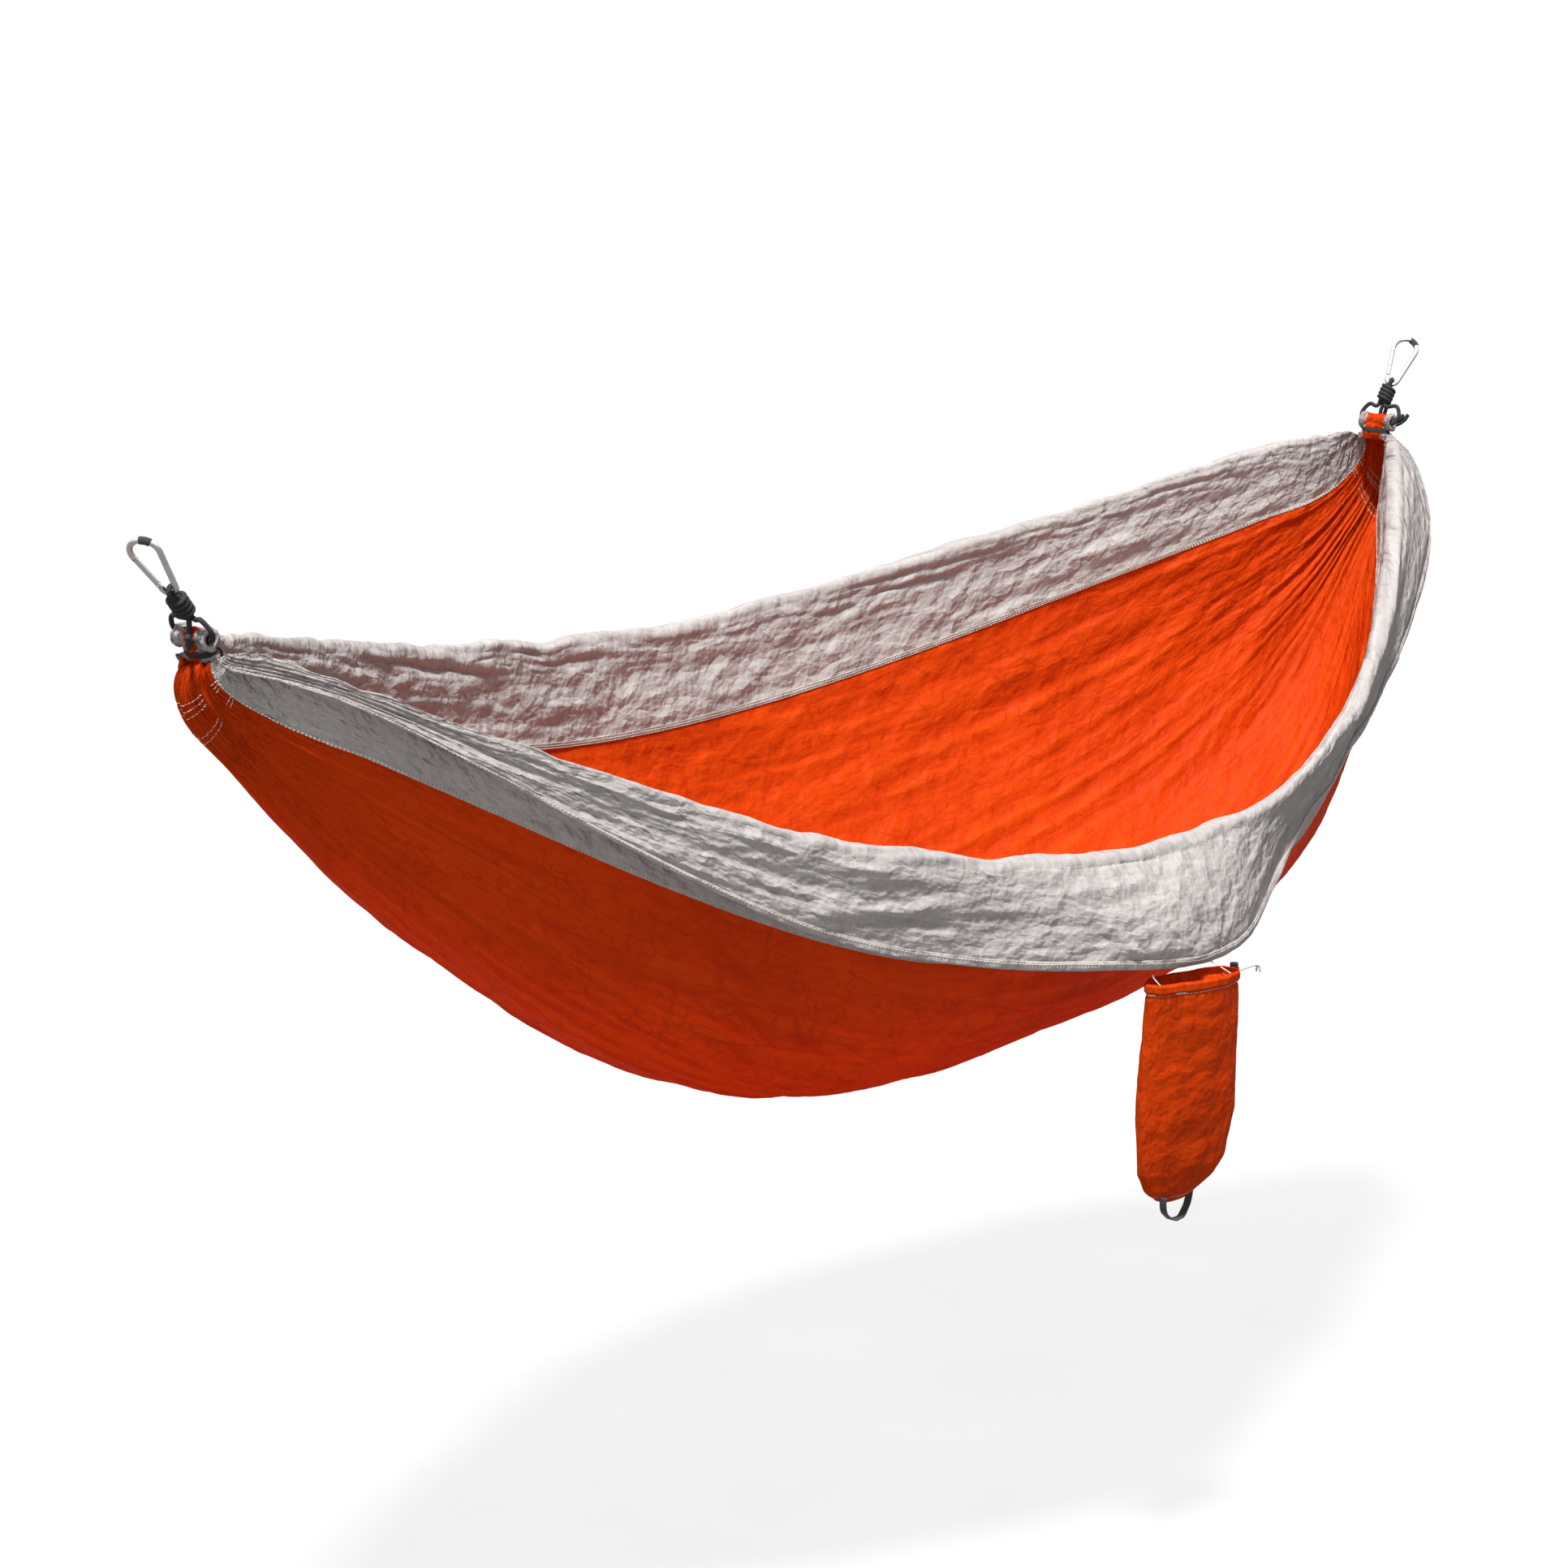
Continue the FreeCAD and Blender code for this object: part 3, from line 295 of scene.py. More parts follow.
class Nodes:
    """Short ways to add nodes to one material."""

    def __init__(self, tree):
        self.tree = tree

    def add(self, kind, settings=None, inputs=None):
        node = self.tree.nodes.new(kind)
        for key, value in (settings or {}).items():
            setattr(node, key, value)
        for key, value in (inputs or {}).items():
            if isinstance(value, bpy.types.NodeSocket):
                self.tree.links.new(value, node.inputs[key])
            else:
                node.inputs[key].default_value = value
        return node

    def attribute(self, name, output="Vector"):
        return self.add("ShaderNodeAttribute", {"attribute_name": name}).outputs[output]

    def position(self):
        return self.add("ShaderNodeTexCoord").outputs["Object"]

    def scaled(self, vector, scale):
        return self.add("ShaderNodeMapping", None, {"Vector": vector, "Scale": scale}).outputs["Vector"]

    def noise(self, vector, scale, detail=4.0, roughness=0.55, distortion=0.0):
        inputs = {"Vector": vector, "Scale": scale, "Detail": detail, "Roughness": roughness,
                  "Distortion": distortion}
        return self.add("ShaderNodeTexNoise", None, inputs).outputs["Fac"]

    def wave(self, vector, scale, direction, distortion=0.0):
        settings = {"wave_type": "BANDS", "bands_direction": direction, "wave_profile": "SIN"}
        inputs = {"Vector": vector, "Scale": scale, "Distortion": distortion}
        return self.add("ShaderNodeTexWave", settings, inputs).outputs["Fac"]

    def cells(self, vector, scale, feature="F1"):
        inputs = {"Vector": vector, "Scale": scale}
        return self.add("ShaderNodeTexVoronoi", {"feature": feature}, inputs).outputs["Distance"]

    def warped(self, vector, scale, reach):
        """A vector pushed about by soft noise, so that cells and bands don't run straight."""
        drift = self.add("ShaderNodeTexNoise", None, {"Vector": vector, "Scale": scale, "Detail": 2.0})
        inputs = {0: drift.outputs["Color"], 1: (reach, reach, reach), 2: vector}
        return self.add("ShaderNodeVectorMath", {"operation": "MULTIPLY_ADD"}, inputs).outputs["Vector"]

    def facets(self, vector, scale):
        """Flat facets that meet in sharp creases: squared cell distances less the same, moved sideways."""
        moved = self.add("ShaderNodeVectorMath", {"operation": "ADD"}, {0: vector, 1: (0.41 / scale, 0.33 / scale, 0.0)})
        near = [self.cells(place, scale) for place in (vector, moved.outputs["Vector"])]
        return self.math("SUBTRACT", self.math("MULTIPLY", near[0], near[0]), self.math("MULTIPLY", near[1], near[1]))

    def creases(self, vector, scale, turn_deg, stretch, width):
        """Short thin crease lines, where stretched cells meet, broken up by a soft mask."""
        inputs = {"Vector": vector, "Rotation": (0, 0, math.radians(turn_deg)), "Scale": (stretch, 1.0, 1.0)}
        place = self.add("ShaderNodeMapping", None, inputs).outputs["Vector"]
        line = self.ramp(self.cells(place, scale, "DISTANCE_TO_EDGE"), 0.0, width, 1.0, 0.0)
        return self.math("MULTIPLY", line, self.ramp(self.noise(place, scale * 0.45, 2.0), 0.46, 0.62, 0.0, 1.0))

    def math(self, operation, first, second=0.0, clamp=False):
        node = self.add("ShaderNodeMath", {"operation": operation, "use_clamp": clamp})
        for i, value in enumerate((first, second)):
            if isinstance(value, bpy.types.NodeSocket):
                self.tree.links.new(value, node.inputs[i])
            else:
                node.inputs[i].default_value = value
        return node.outputs[0]

    def ramp(self, value, low, high, start, end):
        """value from low..high onto start..end, clamped."""
        inputs = {"Value": value, "From Min": low, "From Max": high, "To Min": start, "To Max": end}
        return self.add("ShaderNodeMapRange", None, inputs).outputs["Result"]

    def mix(self, factor, first, second, blend="MIX"):
        node = self.add("ShaderNodeMix", {"data_type": "RGBA", "blend_type": blend})
        for key, value in ((0, factor), (6, first), (7, second)):
            if isinstance(value, bpy.types.NodeSocket):
                self.tree.links.new(value, node.inputs[key])
            else:
                node.inputs[key].default_value = value
        return node.outputs[2]

    def bump(self, height, strength, distance, normal=None):
        inputs = {"Height": height, "Strength": strength, "Distance": distance}
        if normal is not None:
            inputs["Normal"] = normal
        return self.add("ShaderNodeBump", None, inputs).outputs["Normal"]

    def surface(self, inputs):
        return self.add("ShaderNodeBsdfPrincipled", None, inputs).outputs["BSDF"]


def colour(r, g, b):
    return (r, g, b, 1.0)


def nylon(name, base, deep, pale, through_colour, glow, crumpled):
    """Light parachute nylon: fine weave, crisp packing creases and light passing through, with a painted highlight on
    ridges and painted shade in hollows, along crease lines and along streaks.
    """
    def build(tree):
        n = Nodes(tree)
        cloth = n.attribute("cloth")
        crease = n.attribute("crease", "Fac")
        broad = n.noise(cloth, 4.0, 3.0)
        patchy = n.noise(cloth, 38.0, 5.0, 0.6)
        bent = n.warped(cloth, 7.0, 0.035)
        finely_bent = n.warped(cloth, 30.0, 0.01)
        folds = n.math("MAXIMUM", n.creases(bent, 15.0, 20, 0.45, 0.05), n.creases(bent, 30.0, -34, 0.6, 0.08))
        folds = n.math("MAXIMUM", folds, n.creases(finely_bent, 62.0, 50, 0.7, 0.10))
        crease_streaks = n.noise(n.scaled(bent, (9.0, 130.0, 1.0)), 1.0, 3.0)
        shade = n.mix(n.ramp(broad, 0.3, 0.7, 0.0, 0.5), base, deep)
        shade = n.mix(n.ramp(patchy, 0.35, 0.75, 0.0, 0.18), shade, pale)
        # painted highlight on the ridges and painted shade in the hollows of the crumples, read from the crease
        # attribute
        shade = n.mix(n.ramp(crease, 0.15, 0.9, 0.0, 0.35), shade, pale)
        shade = n.mix(n.ramp(crease, -0.15, -0.9, 0.0, 0.5), shade, deep)
        # painted shade along the crease lines
        shade = n.mix(n.math("MULTIPLY", folds, 0.65), shade, deep)
        # painted shade along the long streaky creases
        shade = n.mix(n.ramp(crease_streaks, 0.45, 0.75, 0.0, 0.4), shade, deep)
        weave = n.math("MULTIPLY", n.wave(cloth, 420.0, "X", 0.3), n.wave(cloth, 420.0, "Y", 0.3))
        normal = n.bump(n.facets(n.scaled(bent, (1.0, 1.3, 1.0)), 24.0), 1.0, 0.0030 * crumpled)
        normal = n.bump(n.facets(bent, 52.0), 1.0, 0.0014 * crumpled, normal)
        normal = n.bump(n.facets(finely_bent, 118.0), 1.0, 0.0006 * crumpled, normal)
        normal = n.bump(folds, -1.0, 0.0012, normal)
        normal = n.bump(n.math("ADD", n.math("MULTIPLY", crease_streaks, 1.2), patchy), 0.5, 0.0012, normal)
        normal = n.bump(weave, 0.18, 0.00035, normal)
        rough = n.ramp(patchy, 0.3, 0.7, 0.5, 0.66)
        bounced = n.add("ShaderNodeLightPath").outputs["Is Diffuse Ray"]
        shade = n.mix(n.math("MULTIPLY", bounced, BOUNCE_SHARE), shade, BOUNCE_COLOUR)
        face = n.surface({"Base Color": shade, "Roughness": rough, "Normal": normal,
                          "Specular IOR Level": 0.12})
        lit = n.mix(1.0, shade, through_colour, "MULTIPLY")
        through = n.add("ShaderNodeBsdfTranslucent", None, {"Color": lit, "Normal": normal}).outputs["BSDF"]
        return n.add("ShaderNodeMixShader", None, {0: glow, 1: face, 2: through}).outputs["Shader"]
    return material(name, build)


def braided_cord(name, base, pale, pitch, strands):
    """Braided sheath: two crossing families of strands around a cord."""
    def build(tree):
        n = Nodes(tree)
        place = n.scaled(n.attribute("cloth"), (1.0 / pitch, strands, 1.0))
        split = n.add("ShaderNodeSeparateXYZ", None, {"Vector": place})
        plus = n.math("ADD", split.outputs["X"], split.outputs["Y"])
        minus = n.math("SUBTRACT", split.outputs["X"], split.outputs["Y"])
        left = n.math("ABSOLUTE", n.math("SINE", n.math("MULTIPLY", plus, math.pi)))
        right = n.math("ABSOLUTE", n.math("SINE", n.math("MULTIPLY", minus, math.pi)))
        braid = n.math("MAXIMUM", left, right)
        fuzz = n.noise(n.position(), 900.0, 3.0)
        shade = n.mix(n.ramp(braid, 0.55, 1.0, 0.0, 1.0), base, pale)
        shade = n.mix(n.ramp(fuzz, 0.4, 0.8, 0.0, 0.4), shade, pale)
        normal = n.bump(braid, 0.8, 0.0006)
        normal = n.bump(fuzz, 0.3, 0.0002, normal)
        return n.surface({"Base Color": shade, "Roughness": 0.8, "Normal": normal,
                          "Specular IOR Level": 0.15})
    return material(name, build)


def metal(name, base, low, high, scratch):
    """Plated steel with fine drawn scratches, handling marks and a slightly uneven polish."""
    def build(tree):
        n = Nodes(tree)
        place = n.position()
        smudge = n.noise(place, 90.0, 4.0)
        lines = n.noise(n.scaled(place, (260.0, 260.0, 2600.0)), 1.0, 3.0)
        pits = n.cells(place, 700.0)
        shade = n.mix(n.ramp(smudge, 0.4, 0.7, 0.0, 0.35), base, colour(base[0] * 0.72, base[1] * 0.7, base[2] * 0.68))
        rough = n.math("ADD", n.ramp(smudge, 0.3, 0.7, low, high), n.ramp(lines, 0.55, 0.75, 0.0, 0.08))
        normal = n.bump(lines, scratch, 0.00008)
        normal = n.bump(pits, scratch * 0.5, 0.00006, normal)
        return n.surface({"Base Color": shade, "Metallic": 1.0, "Roughness": rough, "Normal": normal})
    return material(name, build)


def moulded(name, base, pale):
    """Moulded plastic with a fine spark-eroded grain and rubbed patches."""
    def build(tree):
        n = Nodes(tree)
        place = n.position()
        grain = n.noise(place, 2600.0, 2.0)
        wear = n.noise(place, 160.0, 4.0)
        shade = n.mix(n.ramp(wear, 0.5, 0.8, 0.0, 0.5), base, pale)
        normal = n.bump(grain, 0.25, 0.00012)
        return n.surface({"Base Color": shade, "Roughness": n.ramp(wear, 0.3, 0.7, 0.38, 0.55), "Normal": normal})
    return material(name, build)


def webbing(name, base, pale):
    """Flat woven tape with a herringbone twill."""
    def build(tree):
        n = Nodes(tree)
        place = n.position()
        twill = n.wave(n.scaled(place, (1.0, 1.0, 1.6)), 260.0, "DIAGONAL", 0.2)
        cross = n.wave(place, 520.0, "Z", 0.2)
        pattern = n.math("MULTIPLY", twill, cross)
        fuzz = n.noise(place, 700.0, 3.0)
        shade = n.mix(n.ramp(pattern, 0.1, 0.9, 0.0, 1.0), base, pale)
        normal = n.bump(pattern, 0.6, 0.0004)
        normal = n.bump(fuzz, 0.3, 0.0002, normal)
        return n.surface({"Base Color": shade, "Roughness": 0.82, "Normal": normal, "Sheen Weight": 0.35})
    return material(name, build)


def thread(name, base, pale):
    """Twisted polyester sewing thread."""
    def build(tree):
        n = Nodes(tree)
        place = n.position()
        twist = n.wave(place, 1400.0, "DIAGONAL", 0.5)
        soil = n.noise(place, 30.0, 4.0)
        shade = n.mix(n.ramp(soil, 0.35, 0.7, 0.0, 0.6), base, pale)
        return n.surface({"Base Color": shade, "Roughness": 0.62, "Normal": n.bump(twist, 0.5, 0.0001)})
    return material(name, build)


# what the nylon looks like to light that bounces off it, to keep reflected orange off the grey
BOUNCE_COLOUR, BOUNCE_SHARE = colour(0.50, 0.26, 0.20), 0.6
ORANGE = nylon("orange_nylon", colour(0.97, 0.088, 0.0020), colour(0.70, 0.042, 0.0010),
               colour(0.98, 0.14, 0.006), colour(1.0, 0.33, 0.2), 0.42, 0.7)
GREY = nylon("grey_nylon", colour(0.69, 0.655, 0.645), colour(0.50, 0.465, 0.455), colour(0.79, 0.77, 0.765),
             colour(0.97, 0.86, 0.83), 0.30, 1.5)
ROPE = braided_cord("dark_rope", colour(0.012, 0.012, 0.014), colour(0.055, 0.055, 0.06), 0.0042, 8.0)
WHITE_CORD = braided_cord("white_cord", colour(0.55, 0.54, 0.52), colour(0.86, 0.85, 0.83), 0.002, 6.0)
STEEL = metal("polished_steel", colour(0.76, 0.745, 0.72), 0.12, 0.24, 0.25)
SPRING = metal("spring_steel", colour(0.5, 0.49, 0.47), 0.28, 0.4, 0.2)
PLASTIC = moulded("black_plastic", colour(0.012, 0.012, 0.013), colour(0.05, 0.05, 0.052))
WEBBING = webbing("dark_webbing", colour(0.014, 0.013, 0.014), colour(0.06, 0.058, 0.06))
THREAD = thread("cream_thread", colour(0.80, 0.72, 0.60), colour(0.93, 0.89, 0.82))


# ------------------------------------------------------------------ the two ends, from the frame
OUTWARD = {"left": -1.0, "right": 1.0}
UP = np.array([0.0, 0.0, 1.0])
ACROSS = np.array([0.0, 1.0, 0.0])
FOOT_ABOVE_KNOT = 0.019
NECK_TILT = math.radians(70)
CHANNEL_RISE = 0.025


def end_points(side):
    """Where one end's channel, knot and carabiner are, and the directions between them."""
    channel = np.array(JOINTS[side + "_rope_swing"]["pos_m"])
    foot = np.array(JOINTS[side + "_carabiner_swing"]["pos_m"])
    gate_side = np.array(JOINTS[side + "_carabiner_swing"]["axis"])
    pull = unit(np.array(MOUNTS[side + "_hook"]["pos_m"]) - foot)
    toward = np.array([OUTWARD[side] * math.cos(NECK_TILT), 0, math.sin(NECK_TILT)])
    return {"channel": channel, "foot": foot, "gate_side": gate_side, "pull": pull, "toward": toward,
            "normal": np.cross(gate_side, pull), "knot": foot - pull * FOOT_ABOVE_KNOT,
            "neck": channel - toward * CHANNEL_RISE, "outward": OUTWARD[side]}


END = {side: end_points(side) for side in OUTWARD}
MIDDLE_X = (END["left"]["knot"][0] + END["right"]["knot"][0]) / 2
KNOT_Z = END["left"]["knot"][2]

# ------------------------------------------------------------------ shape of the bed
# along runs from -1 at the left neck to +1 at the right one; around runs from 0 at the rear crest, down
# under the bed and up to 1 at the front crest.
NECK_INSET, NECK_DROP, NECK_DEPTH, NECK_HALF_WIDTH = 0.038, 0.058, 0.022, 0.029
HALF_LENGTH = (END["right"]["knot"][0] - END["left"]["knot"][0]) / 2 - NECK_INSET
FRONT_HALF_WIDTH, REAR_HALF_WIDTH = 0.414, 0.380
FRONT_CREST_DROP, REAR_CREST_DROP, BOTTOM_DROP = 0.435, 0.252, 0.701
# power, fullness and skew to the right of each outline along the bed
FRONT_CREST_HUMP, REAR_CREST_HUMP = (2.25, 1.31, 0.063), (1.86, 1.31, 0.0)
FRONT_WIDTH_HUMP, REAR_WIDTH_HUMP = (2.26, 1.11, 0.063), (1.9, 1.11, 0.0)
BOTTOM_HUMP = (1.9, 0.53, 0.162)
BELLY_POWER = 1.105
SAG, SAG_PLACE, SAG_WIDTH = 0.096, -0.375, 0.34
SIDE_PANEL_SHARE, TILT_POWER = 0.095, 90
FLAP_LENGTH, FLAP_NECK_LENGTH, LEFT_SHORTENING, RIGHT_SHORTENING = 0.119, 0.016, 0.014, 0.055
HEM_HEIGHT = 0.011
FOLD_RADIUS, FOLD_NECK_RADIUS = 0.013, 0.0025
NECK_FLARE, REAR_FLARE, MIDDLE_FLARE, RIGHT_TUCK, RIGHT_FLARE = 0.003, 0.011, 0.061, 0.024, 0.070
FOLD_SHARE = 0.18
CLOTH_THICKNESS = 0.0008

# places across the flat cloth, in metres from its middle
SEAM_V, CREST_V, FLAP_V = 0.515, 0.635, 0.162
HEM_V = CREST_V + FLAP_V * (1 + HEM_HEIGHT / FLAP_LENGTH)


def hump(along, power, fullness, skew):
    """1 at mid-length and 0 at both necks."""
    moved = along - skew * (1 - along ** 2)
    return np.maximum(0.0, 1 - np.abs(moved) ** power) ** fullness


def section(along):
    """Sizes of the cross section at each place along, as columns."""
    along = along[:, None]
    neck_z = KNOT_Z - NECK_DROP

    def from_neck(drop, share):
        return neck_z + (KNOT_Z - drop - neck_z) * share

    front_z = from_neck(FRONT_CREST_DROP, hump(along, *FRONT_CREST_HUMP))
    rear_z = from_neck(REAR_CREST_DROP, hump(along, *REAR_CREST_HUMP))
    bottom_z = from_neck(BOTTOM_DROP, hump(along, *BOTTOM_HUMP)) - NECK_DEPTH
    bottom_z = bottom_z - SAG * np.exp(-((along - SAG_PLACE) / SAG_WIDTH) ** 2)
    front = NECK_HALF_WIDTH + (FRONT_HALF_WIDTH - NECK_HALF_WIDTH) * hump(along, *FRONT_WIDTH_HUMP)
    rear = NECK_HALF_WIDTH + (REAR_HALF_WIDTH - NECK_HALF_WIDTH) * hump(along, *REAR_WIDTH_HUMP)
    return {"along": along, "front": front, "rear": rear, "front_z": front_z, "rear_z": rear_z,
            "depth": (front_z + rear_z) / 2 - bottom_z, "tilt": NECK_TILT * np.abs(along) ** TILT_POWER}


def belly(cut, around):
    """Section points of the half ellipse between the crests."""
    angle = math.pi * around
    share = (1 - np.cos(angle)) / 2
    y = cut["rear"] - (cut["front"] + cut["rear"]) * share
    z = cut["rear_z"] + (cut["front_z"] - cut["rear_z"]) * share
    return y, z - cut["depth"] * np.maximum(0.0, np.sin(angle)) ** BELLY_POWER


def flap_sizes(along, front):
    """Fold radius, length and flare of the flap. The front one starts as a point near the left neck, is kicked
    out over the sack, short and tucked in right of it, and kicked out again beside the right neck."""
    fade = 1 - np.abs(along) ** 6
    flare, shorter = REAR_FLARE * fade, 0.0
    if front:
        right_fade = 1 - np.abs(along) ** 60
        fade = smooth(along, -0.95, -0.38) * right_fade
        short = smooth(along, 0.15, 0.4) * (1 - smooth(along, 0.5, 0.85))
        flare = (MIDDLE_FLARE * np.exp(-(along / 0.2) ** 2) - RIGHT_TUCK * short
                 + RIGHT_FLARE * smooth(along, 0.7, 1.05) * right_fade)
        left = smooth(along, -0.8, -0.4) * (1 - smooth(along, -0.15, 0.1))
        shorter = LEFT_SHORTENING * left + RIGHT_SHORTENING * short
    radius = FOLD_NECK_RADIUS + (FOLD_RADIUS - FOLD_NECK_RADIUS) * fade
    length = FLAP_NECK_LENGTH + (FLAP_LENGTH - FLAP_NECK_LENGTH) * fade - shorter
    return radius, length, NECK_FLARE + flare


def flap(cut, place, front):
    """Section points of a side panel's flap: 0 at the crest, round the fold and down to 1 at the hem's top."""
    crest_y, crest_z = belly(cut, 1.0 if front else 0.0)
    out = -1 if front else 1
    radius, length, flare = flap_sizes(cut["along"], front)
    turn = math.pi * np.minimum(place, FOLD_SHARE) / FOLD_SHARE
    run = np.maximum(place - FOLD_SHARE, 0) / (1 - FOLD_SHARE)
    y = crest_y + out * (radius * (1 - np.cos(turn)) + flare * run * (2 - run))
    return y, crest_z + radius * np.sin(turn) - length * run


def into_row(cut, y, z):
    """Section points in the row frame. Near the necks the section tilts to face the channel."""
    reference = (cut["front_z"] + cut["rear_z"]) / 2
    drop = reference - z
    x = MIDDLE_X + HALF_LENGTH * cut["along"] + np.sign(cut["along"]) * drop * np.sin(cut["tilt"])
    return np.stack([x, y, reference - drop * np.cos(cut["tilt"])], axis=-1)


def bed_points(along, columns):
    """The smooth sheet before wrinkles, at every along and every place across the cloth."""
    cut = section(along)
    fine = np.linspace(0, 1, 301)
    fine_y, fine_z = belly(cut, fine[None, :])
    steps = np.hypot(np.diff(fine_y, axis=1), np.diff(fine_z, axis=1))
    length = np.concatenate([np.zeros((len(along), 1)), np.cumsum(steps, axis=1)], axis=1)
    share = SIDE_PANEL_SHARE * (1 + 0.8 * np.abs(along) ** 6 + 0.35 * smooth(np.abs(along), 0.86, 1.0))
    keys = np.array([-CREST_V, -SEAM_V, SEAM_V, CREST_V])
    around = np.empty((len(along), len(columns)))
    for i in range(len(along)):
        shares = np.interp(columns, keys, [0, share[i], 1 - share[i], 1])
        around[i] = np.interp(shares * length[i, -1], length[i], fine)
    y, z = belly(cut, around)
    for front, beyond in ((False, columns < -CREST_V), (True, columns > CREST_V)):
        place = (np.abs(columns[beyond]) - CREST_V) / FLAP_V
        flap_y, flap_z = flap(cut, place[None, :], front)
        y[:, beyond], z[:, beyond] = flap_y, flap_z
    return into_row(cut, y, z)


# ------------------------------------------------------------------ wrinkles of the bed
TIES_U = 0.064


def gathers(u, v, reach, gather):
    """Pleats that run out from the lashed ends. reach is the distance from the nearer end."""
    wander = 1.6 * noise(u * 1.7, v * 4.0, 21) + 0.8 * noise(u * 4.5, v * 9.0, 22)
    spacing = 1 / 15.0
    near = np.exp(-reach / 0.13) + 0.12 * np.exp(-reach / 0.5)
    wave = np.sin(2 * math.pi * v / spacing + 2.2 * wander)
    second = np.sin(2 * math.pi * v / spacing * 2.3 + 3.1 * wander + 1.0)
    uneven = 0.6 + 0.75 * noise(v * 9.0, u * 0.8, 23)
    height = 0.30 * spacing * gather * near
    return uneven * (height * (1 - 2 * np.sqrt(np.abs(wave) + 0.02) * 0.75) + 0.35 * height * second)


def streaks(u, v, reach):
    """Long shallow folds under tension."""
    bend = 0.02 * noise(u * 2.5, v * 2.0, 31)
    first = noise(u * 1.6, (v + bend) * 26.0, 32)
    second = noise(u * 3.1, (v + bend) * 55.0, 33)
    strength = 0.35 + 1.1 * np.exp(-reach / 0.45)
    broad = noise(u * 1.2 + 1.5 * v, (v + bend) * 8.0, 34)
    return (strength * (0.0036 * (1 - 2.2 * np.abs(first)) + 0.0016 * (1 - 2.2 * np.abs(second)))
            + 0.008 * (1 - 2.2 * np.abs(broad)) * np.exp(-reach / 0.8))


def fan(u, v, centre_u, seed):
    """Folds that fan out from one point of the front hem, where a sack tie pulls."""
    du, dv = u - centre_u, HEM_V - v
    distance = np.hypot(du, dv)
    angle = np.arctan2(du, dv)
    strength = smooth(distance, 0.0, 0.05) * np.exp(-distance / 0.09)
    return 0.011 * strength * (0.4 - np.abs(noise(angle * 3.2 + 9, distance * 3.0, seed))) * (v > CREST_V)


def wrinkles(u, v, reach, gather):
    """Height of the crumpled cloth over the smooth sheet, in metres."""
    flap_part = smooth(np.abs(v), CREST_V - 0.03, CREST_V + 0.03)
    shear = 0.9 * flap_part * np.sign(v)
    x, y = u + shear * v, v * (1 + 0.35 * flap_part)
    patchy = 0.75 + 0.45 * noise(u * 3.0, v * 3.0, 41)
    side_panel = smooth(np.abs(v), SEAM_V - 0.01, SEAM_V + 0.01)
    loose = 0.75 + 0.5 * side_panel
    slant = x + 0.5 * y
    soft = (0.0075 * noise(u * 2.6, v * 3.4, 42)
            + 0.0058 * crumple(slant * 5.0, y * 8.5, 51, 22.0)
            + 0.0040 * loose * patchy * crumple(slant * 9.0, y * 17.0, 61, 26.0)
            + 0.0021 * loose * patchy * crumple(slant * 19.0, y * 34.0, 71, 30.0)
            + 0.0007 * loose * crumple(x * 66.0, y * 74.0, 81))
    crest = np.exp(-((np.abs(v) - CREST_V) / 0.022) ** 2)
    seam = np.exp(-((np.abs(v) - SEAM_V) / 0.012) ** 2)
    pucker = seam * 0.0007 * noise(u * 85.0, v * 20.0, 43)
    stiff = (1 - 0.45 * crest) * (1 - 0.5 * seam)
    pulled = fan(u, v, -TIES_U, 91) + fan(u, v, TIES_U, 92)
    return stiff * np.minimum(1.0, 0.12 + gather) * (soft + streaks(u, v, reach)) \
        + gathers(u, v, reach, gather) + pucker + pulled


def blurred(grid, times):
    """A grid of numbers, smoothed."""
    for _ in range(times):
        padded = np.pad(grid, 1, mode="edge")
        grid = (padded[:-2, 1:-1] + padded[2:, 1:-1] + padded[1:-1, :-2] + padded[1:-1, 2:] + 2 * grid) / 6
    return grid


def spread(*parts):
    """Column places from (start, end, count) runs."""
    runs = [np.linspace(start, end, count, endpoint=False) for start, end, count in parts]
    return np.concatenate(runs + [[parts[-1][1]]])


ROWS = 620
fold_v = CREST_V + FLAP_V * FOLD_SHARE
V = spread((-HEM_V, -fold_v, 44), (-fold_v, -CREST_V, 12), (-CREST_V, -SEAM_V, 34), (-SEAM_V, SEAM_V, 210),
           (SEAM_V, CREST_V, 34), (CREST_V, fold_v, 12), (fold_v, HEM_V, 44))
evenly = np.linspace(-1, 1, ROWS)
ALONG = 0.9 * np.sin(math.pi / 2 * evenly) + 0.1 * evenly
SMOOTH = bed_points(ALONG, V)
middle_line = SMOOTH[:, len(V) // 2]
U = np.concatenate([[0], np.cumsum(np.linalg.norm(np.diff(middle_line, axis=0), axis=1))])
U = U - np.interp(0.0, ALONG, U)
widths = np.linalg.norm(np.diff(SMOOTH, axis=1), axis=2).sum(axis=1)
GATHER = (widths / widths.max())[:, None]
grid_u, grid_v = np.broadcast_to(U[:, None], SMOOTH.shape[:2]), np.broadcast_to(V, SMOOTH.shape[:2])
reach = np.minimum(grid_u - U[0], U[-1] - grid_u)
HEIGHT = wrinkles(grid_u, grid_v, reach, GATHER)
INWARD = -normals_of(SMOOTH)
BED = SMOOTH + INWARD * HEIGHT[..., None]
crest_bumps = 0.0045 * noise(grid_u * 11.0, 0 * grid_u, 44) + 0.002 * noise(grid_u * 31.0, 0 * grid_u, 45)
crest_weight = np.exp(-((np.abs(grid_v) - CREST_V - 0.01) / 0.05) ** 2) * smooth(reach, 0.0, 0.15)
BED[..., 2] += crest_bumps * crest_weight
BED_INWARD = -normals_of(BED)
